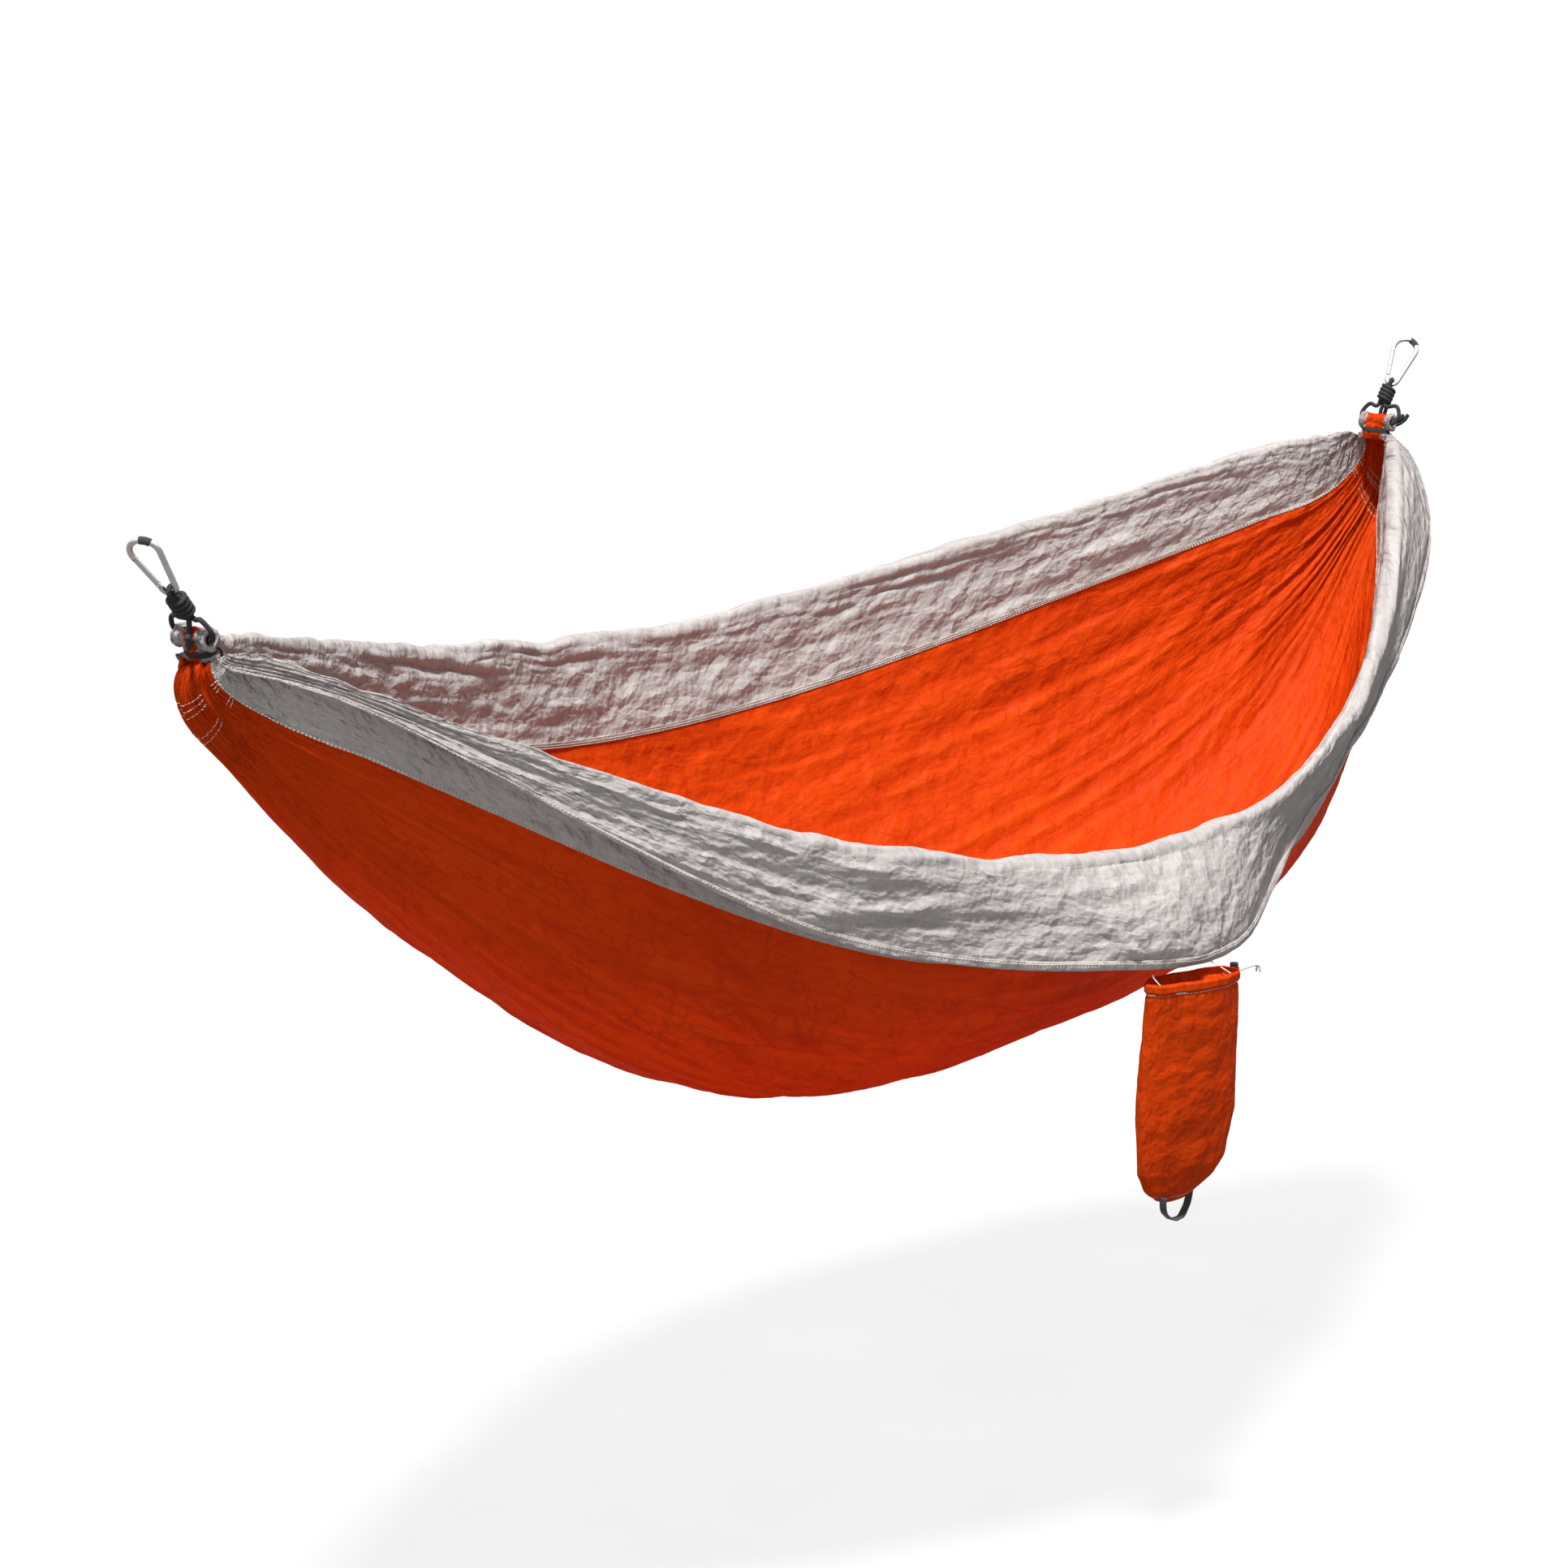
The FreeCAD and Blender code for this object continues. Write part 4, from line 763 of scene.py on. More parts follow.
# how far each point stands above or below its smoothed surroundings; the nylon paints a highlight on the ridges and
# shade in the hollows from it
CREASE = np.clip((HEIGHT - blurred(HEIGHT, 12)) / 0.0011, -1, 1)
CLOTH = np.stack([grid_u, grid_v], axis=-1)


# ------------------------------------------------------------------ panels, hems and stitching
LAP = 0.010


def panel(name, low_v, high_v, lift, cloth_material, slot_name):
    """One panel of the bed between two places across the cloth, moved inwards by lift."""
    keep = np.where((V >= low_v - 1e-9) & (V <= high_v + 1e-9))[0]
    cols = slice(keep[0], keep[-1] + 1)
    grid = BED[:, cols] + BED_INWARD[:, cols] * lift
    obj = cloth_sheet(name, grid, CLOTH[:, cols], cloth_material, CLOTH_THICKNESS, CREASE[:, cols])
    return ride_and_replace(obj, "bed", slot_name, name.replace("_cloth", ""))


def ride_and_replace(obj, body, slot_name, *nodes):
    """The piece rides on a body and stands for CAD nodes, which it hides; slot_name is not used."""
    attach(obj, body)
    if nodes:
        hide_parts(*nodes)
    return obj


def line_across(v, lift=0.0):
    """The wrinkled bed's line at one place across the cloth, and its inward direction."""
    column = np.interp(v, V, np.arange(len(V)))
    low, share = int(math.floor(column)), column - math.floor(column)
    high = min(low + 1, len(V) - 1)
    inward = unit(BED_INWARD[:, low] * (1 - share) + BED_INWARD[:, high] * share)
    return BED[:, low] * (1 - share) + BED[:, high] * share + inward * lift, inward


def hem(name, front):
    """The folded edge of a side panel: a flat tube round its last centimetre."""
    side = 1 if front else -1
    turn = np.linspace(0, 2 * math.pi, 14, endpoint=False)
    height = HEM_HEIGHT / FLAP_LENGTH * FLAP_V
    rings = []
    for angle in turn:
        v = side * (HEM_V - height * (0.5 + 0.5 * math.cos(angle)))
        puckered = 1 + 0.25 * noise(U * 60.0, 0 * U + angle, 46)
        line, inward = line_across(v)
        rings.append(line + inward * (0.0017 * math.sin(angle) * puckered)[:, None])
    grid = np.stack(rings, axis=1)
    faces = grid_faces(ROWS, len(turn), wrap_columns=True)
    faces = [tuple(f) for f in faces] + [tuple(range(len(turn)))]
    faces.append(tuple((ROWS - 1) * len(turn) + i for i in reversed(range(len(turn)))))
    obj = new_mesh(name + "_cloth", grid.reshape(-1, 3), faces, GREY)
    flat = np.stack([np.broadcast_to(U[:, None], grid.shape[:2]), np.broadcast_to(turn * 0.004, grid.shape[:2])], -1)
    set_attribute(obj, "cloth", np.concatenate([flat, np.zeros(grid.shape[:2] + (1,))], -1), "FLOAT_VECTOR")
    set_attribute(obj, "crease", np.zeros(grid.shape[:2]), "FLOAT")
    return ride_and_replace(obj, "bed", "grey_nylon", name)


def seam_rows(name, side, *nodes):
    """Three rows of stitching on both faces of a seam, and one row on both faces of the hem beyond it."""
    rows = []
    faces = (1, -1)
    for face in faces:
        for place in (SEAM_V - 0.002, SEAM_V - 0.0055, SEAM_V - 0.009, HEM_V - 0.0105):
            lift = face * (CLOTH_THICKNESS + 0.0012 if place < CREST_V else 0.0019)
            line, inward = line_across(side * place, lift)
            rows.append(stitches(name, line[6:-6], face * inward[6:-6], THREAD, pitch=0.0052, radius=0.00042))
    return ride_and_replace(join(name, rows), "bed", "seam_thread", *nodes)


def end_rows(side):
    """Rows of stitching across the cloth where each end is folded back to make its channel."""
    rows = []
    for distance in (0.088, 0.098, 0.108, 0.135, 0.145):
        row = int(np.argmin(np.abs(OUTWARD[side] * U - (U[-1] - distance))))
        for face in (1, -1):
            for low_v, high_v in ((-0.625, -0.43), (-0.33, 0.30), (0.43, 0.625)):
                keep = np.where((V > low_v) & (V < high_v))[0]
                lift = face * (CLOTH_THICKNESS / 2 + 0.0003)
                line = BED[row, keep] + BED_INWARD[row, keep] * lift
                rows.append(stitches("row", line, face * BED_INWARD[row, keep], THREAD, pitch=0.0046,
                                     radius=0.00042))
    obj = join(side + "_end_stitching", rows)
    return ride_and_replace(obj, "bed", "seam_thread")


panel("centre_panel_cloth", -SEAM_V, SEAM_V, 0.0, ORANGE, "orange_nylon")
panel("front_side_panel_cloth", SEAM_V - LAP, HEM_V - 0.004, -0.0011, GREY, "grey_nylon")
panel("rear_side_panel_cloth", -HEM_V + 0.004, -SEAM_V + LAP, 0.0011, GREY, "grey_nylon")
hem("front_hem", True)
hem("rear_hem", False)
seam_rows("front_stitching", 1, "front_seam_thread")
seam_rows("rear_stitching", -1, "rear_seam_thread")
for side in OUTWARD:
    end_rows(side)


# ------------------------------------------------------------------ gathered ends
THROAT_LIFTS = (-0.004, 0.003, 0.008, 0.014, 0.021)
THROAT_WIDTHS = (0.0265, 0.0285, 0.0195, 0.0225, 0.0225)
THROAT_DEPTHS = (0.0095, 0.0135, 0.0092, 0.0125, 0.0105)
CHANNEL_HALF, CHANNEL_RADIUS, BORE_RADIUS = 0.026, 0.0105, 0.0046
ORANGE_HALF = {"left": 0.009, "right": 0.016}


def tunnel_grid(end):
    """The ruffled tunnel round the rope: an outer wall, then the inner wall back."""
    y = np.concatenate([np.linspace(-1, 1, 120), np.linspace(1, -1, 12)]) * CHANNEL_HALF
    inner = np.arange(len(y)) >= 120
    turn = np.linspace(0, 2 * math.pi, 40, endpoint=False)
    place, angle = np.meshgrid(y, turn, indexing="ij")
    wave = np.sin(2 * math.pi * (place / 0.0058) + 1.7 * noise(np.cos(angle) * 1.5, np.sin(angle) * 1.5 + place * 40, 5))
    frill = 0.0028 * smooth(np.abs(place), CHANNEL_HALF - 0.010, CHANNEL_HALF)
    outer_wall = CHANNEL_RADIUS + 0.0016 * (1 - 1.6 * np.sqrt(np.abs(wave))) + frill
    outer_wall += 0.0012 * noise(place * 120, angle * 2, 6)
    radius = np.where(inner[:, None], BORE_RADIUS + frill, outer_wall)
    around = np.stack([np.cos(angle) * radius, place, np.sin(angle) * radius], axis=-1)
    return end["channel"] + around


def throat_grid(end):
    """The pleated throat between the bed's neck and the tunnel, closed at both ends."""
    lifts = np.linspace(THROAT_LIFTS[0], THROAT_LIFTS[-1], 40)
    columns = 300
    turn = np.linspace(0, 2 * math.pi, columns, endpoint=False)
    lift, angle = np.meshgrid(lifts, turn, indexing="ij")
    wide, deep = np.interp(lift, THROAT_LIFTS, THROAT_WIDTHS), np.interp(lift, THROAT_LIFTS, THROAT_DEPTHS)
    wide, deep = blurred(wide, 6), blurred(deep, 6)
    wander = noise(np.cos(angle) * 3 + lift * 30, np.sin(angle) * 3, 8)
    wave = np.sin(angle * 15 + 2.4 * wander)
    swell = 0.0022 * (1 - 1.7 * np.sqrt(np.abs(wave)))
    short = np.cross(end["toward"], ACROSS)
    points = (end["neck"] + end["toward"] * lift[..., None] + ACROSS * (np.cos(angle) * (wide + swell))[..., None]
              + short * (np.sin(angle) * (deep + swell))[..., None])
    low, high = points[:1].mean(axis=1, keepdims=True), points[-1:].mean(axis=1, keepdims=True)
    caps = [low + (points[:1] - low) * 0.5, points, high + (points[-1:] - high) * 0.5]
    return np.concatenate(caps)


def closed_tube_faces(rows, columns):
    """Faces of a closed-ended tube of points."""
    faces = [tuple(f) for f in grid_faces(rows, columns, wrap_columns=True)]
    faces.append(tuple(range(columns)))
    faces.append(tuple((rows - 1) * columns + i for i in reversed(range(columns))))
    return faces


def end_channel(side):
    """Gathered end of the bed: orange in the middle and grey at both sides, as the panels are."""
    end = END[side]
    parts = []
    tunnel, throat = tunnel_grid(end), throat_grid(end)
    tunnel_faces = grid_faces(tunnel.shape[0], tunnel.shape[1], wrap_rows=True, wrap_columns=True)
    for grid, faces in ((tunnel, tunnel_faces), (throat, closed_tube_faces(*throat.shape[:2]))):
        obj = new_mesh("channel_part", grid.reshape(-1, 3), faces, ORANGE)
        obj.data.materials.append(GREY)
        flat = grid.reshape(-1, 3) * (1, 6, 1)
        set_attribute(obj, "cloth", flat, "FLOAT_VECTOR")
        set_attribute(obj, "crease", np.zeros(len(flat)), "FLOAT")
        for polygon in obj.data.polygons:
            edge = ORANGE_HALF[side] + 0.002 * math.sin(polygon.center.z * 900)
            polygon.material_index = 1 if abs(polygon.center.y) > edge else 0
        parts.append(obj)
    obj = join(side + "_end_channel_cloth", parts)
    return ride_and_replace(obj, "bed", "orange_nylon", side + "_end_channel")


def lashing(side):
    """Thin cord wound round the throat, with a hitch and a hanging tail."""
    end = END[side]
    short = np.cross(end["toward"], ACROSS)
    turns, radius = 3.0, 0.0015
    turn = np.linspace(0, 2 * math.pi * turns, 60)
    lift = np.linspace(0.0052, 0.0108, 60)
    wide, deep = THROAT_WIDTHS[2] + 0.0026, THROAT_DEPTHS[2] + 0.0026
    start = -math.pi / 2
    ring = [end["neck"] + end["toward"] * rise + ACROSS * wide * math.cos(start + a) + short * deep * math.sin(start + a)
            for a, rise in zip(turn, lift)]
    near = end["neck"] - ACROSS * (wide - 0.004) + short * (-0.010)
    tail = [near - UP * 0.004, near - ACROSS * 0.006 - UP * 0.012 + end["toward"] * 0.004,
            near - ACROSS * 0.010 - UP * 0.024, near - ACROSS * 0.008 - UP * 0.036]
    hitch = [near + end["toward"] * 0.010 + ACROSS * 0.002, near - ACROSS * 0.005 + end["toward"] * 0.006,
             near - ACROSS * 0.003 - end["toward"] * 0.001, near + ACROSS * 0.003 + end["toward"] * 0.002]
    parts = [tube("cord", curve_through(ring, 0.0012), radius, ROPE, 10),
             tube("cord", curve_through(tail, 0.0012), radius, ROPE, 10),
             tube("cord", curve_through(hitch, 0.0012), radius * 1.15, ROPE, 10)]
    return ride_and_replace(join(side + "_lashing_cord", parts), "bed", "dark_rope", side + "_lashing")


ROPE_RADIUS = 0.003
STRAND_SPREAD = 0.033


def knot_wraps(end):
    """Four slanting turns of the barrel knot."""
    turns, half, radius = 4.1, 0.0128, 0.0093
    angle = np.linspace(0, 2 * math.pi * turns, 110)
    rise = np.linspace(-half, half, 110)
    slant = 0.0018 * np.sin(angle + 0.6)
    pull, x, y = end["pull"], end["gate_side"], end["normal"]
    ends = smooth(np.minimum(angle, angle[-1] - angle), 0, 1.2)
    reach = radius * (0.55 + 0.45 * ends)
    return (end["knot"] + pull * (rise + slant)[:, None] + x * (reach * np.cos(angle))[:, None]
            + y * (reach * np.sin(angle))[:, None])


def rope(side):
    """Loop through the channel, barrel knot, eye round the carabiner's foot and two cut tails."""
    end = END[side]
    knot, pull, channel = end["knot"], end["pull"], end["channel"]
    climb = unit(knot - channel)
    half = [knot - pull * 0.002 + ACROSS * 0.0045, knot - pull * 0.020 + ACROSS * 0.0075,
            channel + climb * 0.026 + ACROSS * 0.024, channel + climb * 0.012 + ACROSS * STRAND_SPREAD,
            channel - climb * 0.001 + ACROSS * (STRAND_SPREAD - 0.005), channel + ACROSS * 0.020]
    loop = half + [channel] + [point * (1, -1, 1) for point in reversed(half)]
    eye_reach = 0.0035 + 0.0008 + ROPE_RADIUS
    eye = [knot + pull * 0.004 - end["normal"] * 0.0045, knot + pull * 0.012 - end["normal"] * 0.0058]
    for angle in np.radians([-180, -150, -120, -90, -60, -30, 0]):
        eye.append(end["foot"] + end["normal"] * eye_reach * math.cos(angle) - pull * eye_reach * math.sin(angle))
    eye += [knot + pull * 0.012 + end["normal"] * 0.0058, knot + pull * 0.004 + end["normal"] * 0.0045]
    parts = [tube("strand", curve_through(loop, 0.0015), ROPE_RADIUS, ROPE, 14),
             tube("strand", curve_through(eye, 0.0015), ROPE_RADIUS, ROPE, 14),
             tube("strand", curve_through(knot_wraps(end), 0.0012), ROPE_RADIUS, ROPE, 14),
             tube("strand", [knot - pull * 0.0125, knot - pull * 0.006, knot, knot + pull * 0.006, knot + pull * 0.0125],
                  [0.0052, 0.0068, 0.0070, 0.0068, 0.0052], ROPE, 16)]
    sideways = unit(np.array([end["outward"] * 0.67, -0.74, 0.0]))
    centre = knot - UP * 0.027 - ACROSS * 0.010 + sideways * 0.002
    for ring, lift in ((0.0135, 0.0), (0.0198, 0.0012)):
        points = [knot - pull * 0.008 - ACROSS * 0.004 - sideways * 0.002]
        for angle in np.radians([150, 185, 220, 250, 285, 320, 350]):
            stretch = 1.0 if angle < math.radians(300) else 1.0 + 0.18 * (angle - math.radians(300))
            points.append(centre + sideways * ring * stretch * math.cos(angle) + UP * (ring * math.sin(angle) + lift)
                          - ACROSS * 0.002)
        parts.append(tube("strand", curve_through(points, 0.0015), ROPE_RADIUS * 0.96, ROPE, 14))
    return ride_and_replace(join(side + "_rope_cord", parts), side + "_suspension", "dark_rope", side + "_rope")


for side in OUTWARD:
    end_channel(side)
    lashing(side)
    rope(side)


# ------------------------------------------------------------------ stuff sack
sack_low, sack_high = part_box("sack_shell")
SACK_CENTRE = np.array([(sack_low.x + sack_high.x) / 2, (sack_low.y + sack_high.y) / 2, sack_high.z])
SACK_WIDTH, SACK_DEPTH, SACK_LENGTH = sack_high.x - sack_low.x, sack_high.y - sack_low.y, sack_high.z - sack_low.z
HEM_POINT = np.array(JOINTS["sack_swing"]["pos_m"])
SACK_SLANT, SACK_LEAN = math.radians(42), 0.021


def slanted(wide, deep):
    """Section point of the sack: its mouth lies slantwise in its box, the right end towards the front."""
    return SACK_WIDTH / 2 * wide, SACK_DEPTH / 2 * (deep * math.cos(SACK_SLANT) - wide * math.sin(SACK_SLANT))


def sack_grid(rows, columns):
    """The sagging sack: an oval mouth gathered on its cord, full sides and a seamed flat bottom that leans."""
    drop = np.concatenate([np.linspace(0, 0.10, 34, endpoint=False), np.linspace(0.10, 1, rows - 34)])
    turn = np.linspace(0, 2 * math.pi, columns, endpoint=False)
    share, angle = np.meshgrid(drop, turn, indexing="ij")
    keys = (0.0, 0.06, 0.3, 0.62, 0.86, 0.95, 0.985, 1.0)
    wide = np.interp(share, keys, (0.94, 0.94, 0.97, 1.0, 0.90, 0.72, 0.56, 0.42))
    deep = np.interp(share, keys, (0.90, 0.92, 1.0, 1.0, 0.74, 0.42, 0.16, 0.03))
    wide, deep = blurred(wide, 10), blurred(deep, 10)
    square = 0.86
    cos, sin = np.cos(angle), np.sin(angle)
    x, y = slanted(wide * np.sign(cos) * np.abs(cos) ** square, deep * np.sign(sin) * np.abs(sin) ** square)
    length = drop[:, None] * SACK_LENGTH * (1 - 0.035 * (cos + 0.25) ** 2 * share ** 3)
    cinch = smooth(share, 0.0, 0.012) * (1 - smooth(share, 0.036, 0.048))
    puff = 0.0022 * cinch - 0.0016 * np.exp(-((share - 0.052) / 0.008) ** 2)
    around = angle / (2 * math.pi)
    gather_wave = np.abs(np.sin(math.pi * 46 * around + 1.5 * noise(around * 40, share * 6, 101)))
    gathered = 0.0014 * (0.5 - gather_wave) * (0.6 + 0.4 * cinch) * np.exp(-share / 0.10)
    long_folds = 0.0030 * noise(around * 22, share * 1.6, 102) * np.exp(-share / 0.55)
    soft = (0.0040 * noise(around * 7, share * 2.5, 103) + 0.0016 * crumple(around * 12, share * 4, 104)
            + 0.0008 * crumple(around * 26, share * 10, 105) + 0.0003 * crumple(around * 60, share * 30, 106))
    fade_bottom = 1 - smooth(share, 0.90, 1.0)
    relief = puff + gathered + (long_folds + soft * (0.35 + 0.65 * smooth(share, 0.02, 0.2))) * fade_bottom
    back = smooth(np.sin(angle), 0.15, 0.85) * (1 - smooth(share, 0.0, 0.14))
    points = np.stack([SACK_CENTRE[0] + x - SACK_LEAN * share ** 1.3, SACK_CENTRE[1] + y,
                       SACK_CENTRE[2] - length + back * (HEM_POINT[2] - 0.0015 - SACK_CENTRE[2])], axis=-1)
    turned = SACK_DEPTH * (math.cos(SACK_SLANT) * cos + math.sin(SACK_SLANT) * sin)
    outward = unit(np.stack([turned, SACK_WIDTH * sin, 0 * cos], axis=-1))
    return points + outward * relief[..., None], relief, around, share


def sack():
    """Shell, rim stitching and a row of stitching along the front of the bottom seam."""
    rows, columns = 190, 240
    grid, relief, around, share = sack_grid(rows, columns)
    faces = [tuple(f) for f in grid_faces(rows, columns, wrap_columns=True)]
    faces.append(tuple((rows - 1) * columns + i for i in range(columns)))
    shell = new_mesh("sack_shell_cloth", grid.reshape(-1, 3), faces, ORANGE)
    flat = np.stack([share * SACK_LENGTH, around * 2 * (SACK_WIDTH + SACK_DEPTH), 0 * share + 0.37], axis=-1)
    set_attribute(shell, "cloth", flat, "FLOAT_VECTOR")
    # relief above or below its smoothed surroundings; the nylon paints a highlight on the ridges and shade in the
    # hollows from it
    crease = np.clip((relief - blurred(relief, 10)) / 0.0008, -1, 1)
    set_attribute(shell, "crease", crease, "FLOAT")
    solid = shell.modifiers.new("thickness", "SOLIDIFY")
    solid.thickness = CLOTH_THICKNESS
    solid.offset = -1
    apply_modifiers(shell)
    ride_and_replace(shell, "stuff_sack", "orange_nylon", "sack_shell")
    rows_of_thread = []
    outward = unit(grid - grid.mean(axis=1, keepdims=True))
    row = int(np.argmin(np.abs(share[:, 0] - 0.052)))
    rim = np.concatenate([grid[row], grid[row][:1]]) + np.concatenate([outward[row], outward[row][:1]]) * 0.0005
    lift = np.concatenate([outward[row], outward[row][:1]])
    rows_of_thread.append(stitches("row", rim, lift, WHITE_CORD, pitch=0.0046, radius=0.0005))
    last = int(np.argmin(np.abs(share[:, 0] - 0.975)))
    front = np.arange(columns // 2, columns)
    rows_of_thread.append(stitches("row", grid[last, front] + outward[last, front] * 0.0004, outward[last, front],
                                   THREAD, pitch=0.0046, radius=0.00042))
    ride_and_replace(join("sack_stitching", rows_of_thread), "stuff_sack", "seam_thread")


def sack_cords():
    """Ties to the hem, and the drawcord round the rim with tails through the cord lock."""
    ties = []
    rim_z = SACK_CENTRE[2] - 0.004
    for place in (-1, 1):
        top = HEM_POINT + (place * 0.058, 0.0, 0.002)
        front_x, front_y = slanted(place * 0.68, -0.55)
        front = np.array([SACK_CENTRE[0] + front_x, SACK_CENTRE[1] + front_y, rim_z])
        sag = (top + front) / 2 + (place * 0.004, -0.004, -0.003)
        ties.append(tube("tie", curve_through([top + (0, 0.002, 0.004), top, sag, front, front - (0, 0.001, 0.008)],
                                              0.001), 0.00085, WHITE_CORD, 8))
    tie_pair = join("sack_tie_cords", ties)
    ride_and_replace(tie_pair, "stuff_sack", "white_cord", "sack_ties")
    cord_low, cord_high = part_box("sack_drawcord")
    cord_z = (cord_low.z + cord_high.z) / 2
    cord_radius = (cord_high.z - cord_low.z) / 2
    tail_y = SACK_CENTRE[1]
    gap = cord_radius + 0.0001
    start_x = SACK_CENTRE[0] + SACK_WIDTH * 0.44 + 0.004
    ring = []
    for angle in np.radians(np.arange(-24, -337, -12)):
        wide, deep = slanted(0.90 * math.cos(angle), 0.84 * math.sin(angle))
        ring.append(np.array([SACK_CENTRE[0] + wide, tail_y + deep, cord_z]))
    tail_x = cord_high.x - 0.012
    sag = np.array([0.0, 0.0, -0.010])
    first = [np.array([tail_x + 0.012, tail_y - gap * 2.4, cord_z]) + sag, np.array([tail_x + 0.004, tail_y - gap, cord_z]),
             np.array([start_x + 0.012, tail_y - gap, cord_z]), np.array([start_x + 0.006, tail_y - gap, cord_z])]
    last = [point * (1, 0, 1) + (0, 2 * tail_y - point[1], 0) for point in reversed(first)]
    cord = tube("sack_draw_cord", curve_through(first + ring + last, 0.0012), cord_radius, WHITE_CORD, 10)
    ride_and_replace(cord, "stuff_sack", "white_cord", "sack_drawcord")


def bottom_loop():
    """A folded webbing loop under the sack."""
    low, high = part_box("sack_bottom_loop")
    middle, half = (low.x + high.x) / 2, (high.x - low.x) / 2
    tape = high.y - low.y
    sheet = []
    for share in np.linspace(0, 1, 61):
        angle = math.pi * share
        twist = 0.0012 * math.sin(3 * angle)
        centre = np.array([middle - half * 0.97 * math.cos(angle), (low.y + high.y) / 2 + twist,
                           high.z + 0.010 - (high.z + 0.010 - low.z - 0.0012) * math.sin(angle) ** 0.8])
        sheet.append([centre + (0, tape * side, 0.0006 * math.sin(9 * angle + side)) for side in np.linspace(-0.5, 0.5, 13)])
    grid = np.array(sheet)
    flat = np.stack(np.meshgrid(np.linspace(0, 0.1, 61), np.linspace(0, tape, 13), indexing="ij"), axis=-1)
    obj = cloth_sheet("sack_loop_webbing", grid, flat, WEBBING, 0.0016)
    ride_and_replace(obj, "stuff_sack", "dark_webbing", "sack_bottom_loop")


sack()
sack_cords()
bottom_loop()


# ------------------------------------------------------------------ finishes of the CAD parts that stay
FINISHES = {"carabiner_body": (STEEL, "polished_steel"), "gate": (STEEL, "polished_steel"),
            "gate_rivet": (STEEL, "polished_steel"), "latch_pin": (STEEL, "polished_steel"),
            "gate_plunger": (STEEL, "polished_steel"), "gate_spring": (SPRING, "spring_steel"),
            "bow_sleeve": (WEBBING, "dark_webbing")}


def finish_node(name, finish):
    """Give a carried-over CAD node its material."""
    node = frame["nodes"][name]
    node.data.materials.clear()
    node.data.materials.append(finish)


for side in OUTWARD:
    for part, (finish, slot_name) in FINISHES.items():
        finish_node(side + "_" + part, finish)
finish_node("cord_lock_body", PLASTIC)
finish_node("cord_lock_button", PLASTIC)
finish_node("cord_lock_spring", SPRING)


# ------------------------------------------------------------------ floor, light and camera
cad_low, cad_high = CAD_BOUNDS
CENTRE = (cad_low + cad_high) / 2
FLOOR_BELOW = 0.45
KEY_STRENGTH, FILL_STRENGTH, SKY_STRENGTH = 5.4, 0.45, 0.30


def pale_floor():
    """A plain pale floor, well below the hammock."""
    def build(tree):
        n = Nodes(tree)
        grain = n.noise(n.position(), 3.0, 3.0)
        shade = n.mix(n.ramp(grain, 0.3, 0.7, 0.0, 1.0), colour(0.90, 0.90, 0.90), colour(0.93, 0.93, 0.93))
        lit = n.surface({"Base Color": shade, "Roughness": 0.9})
        glow = n.add("ShaderNodeEmission", None, {"Color": shade, "Strength": 1.05}).outputs["Emission"]
        seen = n.add("ShaderNodeMixShader", None, {0: 0.9, 1: lit, 2: glow}).outputs["Shader"]
        dull = n.surface({"Base Color": colour(0.16, 0.16, 0.16), "Roughness": 0.9})
        path = n.add("ShaderNodeLightPath").outputs["Is Camera Ray"]
        return n.add("ShaderNodeMixShader", None, {0: path, 1: dull, 2: seen}).outputs["Shader"]
    half = 30.0
    z = cad_low.z - FLOOR_BELOW
    corners = [(CENTRE.x + i * half, CENTRE.y + j * half, z) for i, j in ((-1, -1), (1, -1), (1, 1), (-1, 1))]
    floor = new_mesh("floor", corners, [(0, 1, 2, 3)], material("floor_paint", build))


def sun_light(name, offset, spread_deg, strength, tint):
    """A soft distant light from the direction of offset."""
    data = bpy.data.lights.new(name, "SUN")
    data.angle = math.radians(spread_deg)
    data.energy = strength
    data.color = tint
    light = bpy.data.objects.new(name, data)
    bpy.context.scene.collection.objects.link(light)
    light.location = CENTRE + Vector(offset)
    light.rotation_mode = "QUATERNION"
    light.rotation_quaternion = (-Vector(offset)).to_track_quat("-Z", "Y")


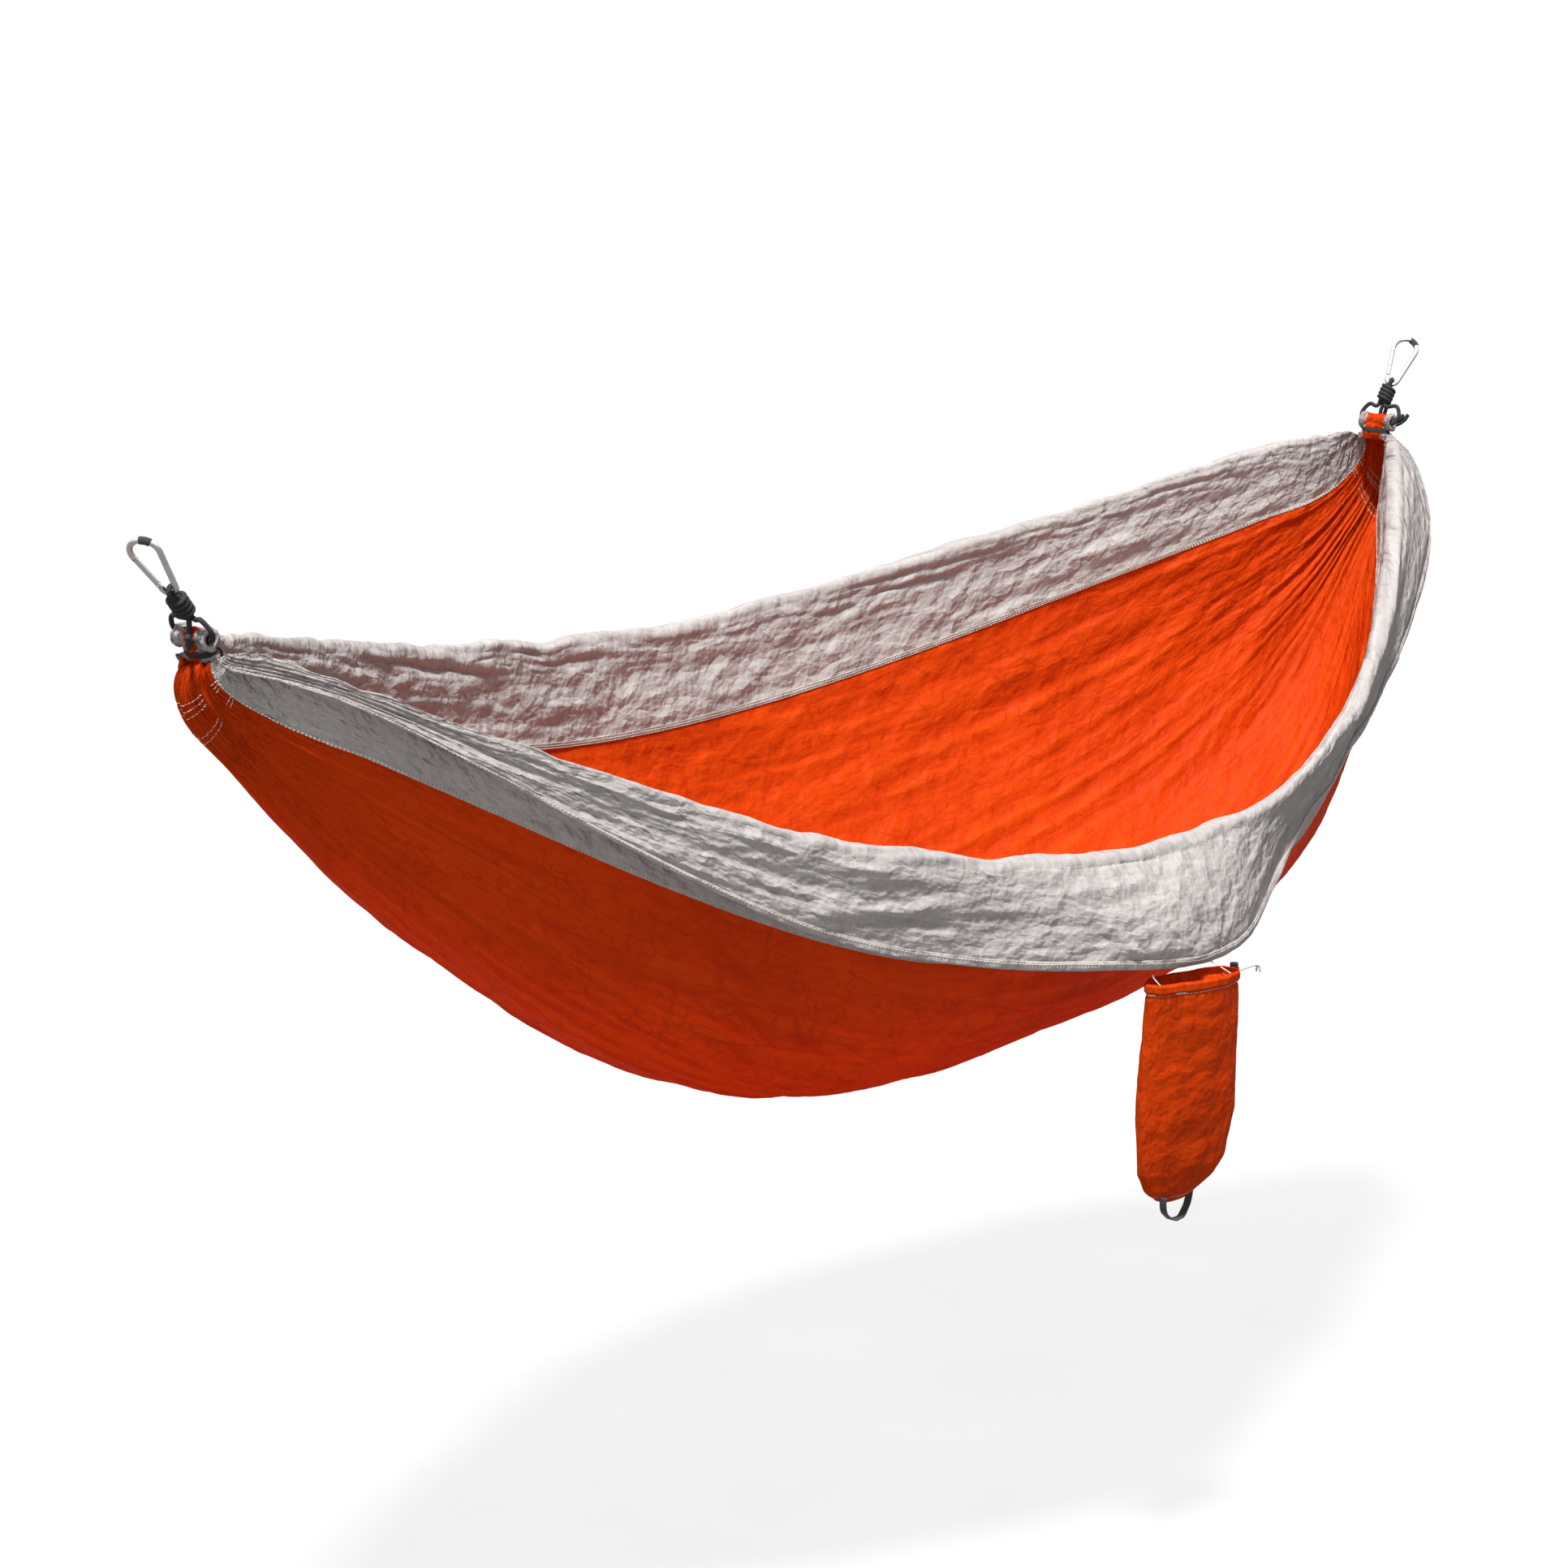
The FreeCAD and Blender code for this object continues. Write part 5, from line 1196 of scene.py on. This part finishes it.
def backdrop():
    """White to the camera; a dimmer, plain sky as light."""
    world = bpy.data.worlds.new("studio")
    bpy.context.scene.world = world
    world.use_nodes = True
    tree = world.node_tree
    tree.nodes.clear()
    n = Nodes(tree)
    seen = n.add("ShaderNodeBackground", None, {"Color": colour(1, 1, 1), "Strength": 1.0}).outputs["Background"]
    lit = n.add("ShaderNodeBackground", None, {"Color": colour(0.95, 0.97, 1.0), "Strength": SKY_STRENGTH})
    height = n.add("ShaderNodeSeparateXYZ", None, {0: n.add("ShaderNodeNewGeometry").outputs["Incoming"]}).outputs["Z"]
    shine = n.ramp(height, -0.5, 0.1, 1.4, 0.08)
    mirrored = n.add("ShaderNodeBackground", None, {"Color": colour(1, 1, 1), "Strength": shine})
    path = n.add("ShaderNodeLightPath")
    mixed = n.add("ShaderNodeMixShader", None, {0: path.outputs["Is Glossy Ray"], 1: lit.outputs["Background"],
                                                2: mirrored.outputs["Background"]}).outputs["Shader"]
    mixed = n.add("ShaderNodeMixShader", None, {0: path.outputs["Is Camera Ray"], 1: mixed, 2: seen}).outputs["Shader"]
    output = tree.nodes.new("ShaderNodeOutputWorld")
    tree.links.new(mixed, output.inputs["Surface"])


CAMERA_YAW, CAMERA_PITCH = math.radians(47.87), math.radians(13.15)
CAMERA_DISTANCE = 5.254
CAMERA_AIM = Vector((1.1154, 0.0689, -0.4713))


def camera():
    """A long lens at the near left, a little above the hammock."""
    data = bpy.data.cameras.new("camera")
    data.lens = 91.3
    data.sensor_width = 36.0
    view = bpy.data.objects.new("camera", data)
    bpy.context.scene.collection.objects.link(view)
    direction = Vector((math.sin(CAMERA_YAW) * math.cos(CAMERA_PITCH), math.cos(CAMERA_YAW) * math.cos(CAMERA_PITCH),
                        -math.sin(CAMERA_PITCH)))
    view.location = CAMERA_AIM - direction * CAMERA_DISTANCE
    view.rotation_mode = "QUATERNION"
    view.rotation_quaternion = direction.to_track_quat("-Z", "Y")
    bpy.context.scene.camera = view


pale_floor()
sun_light("key", (-0.6, -0.38, 2.85), 8, KEY_STRENGTH, (1.0, 0.985, 0.96))
sun_light("fill", (-3.0, -1.7, 0.5), 25, FILL_STRENGTH, (0.96, 0.98, 1.0))
backdrop()
camera()
bpy.context.scene.view_settings.view_transform = "Standard"
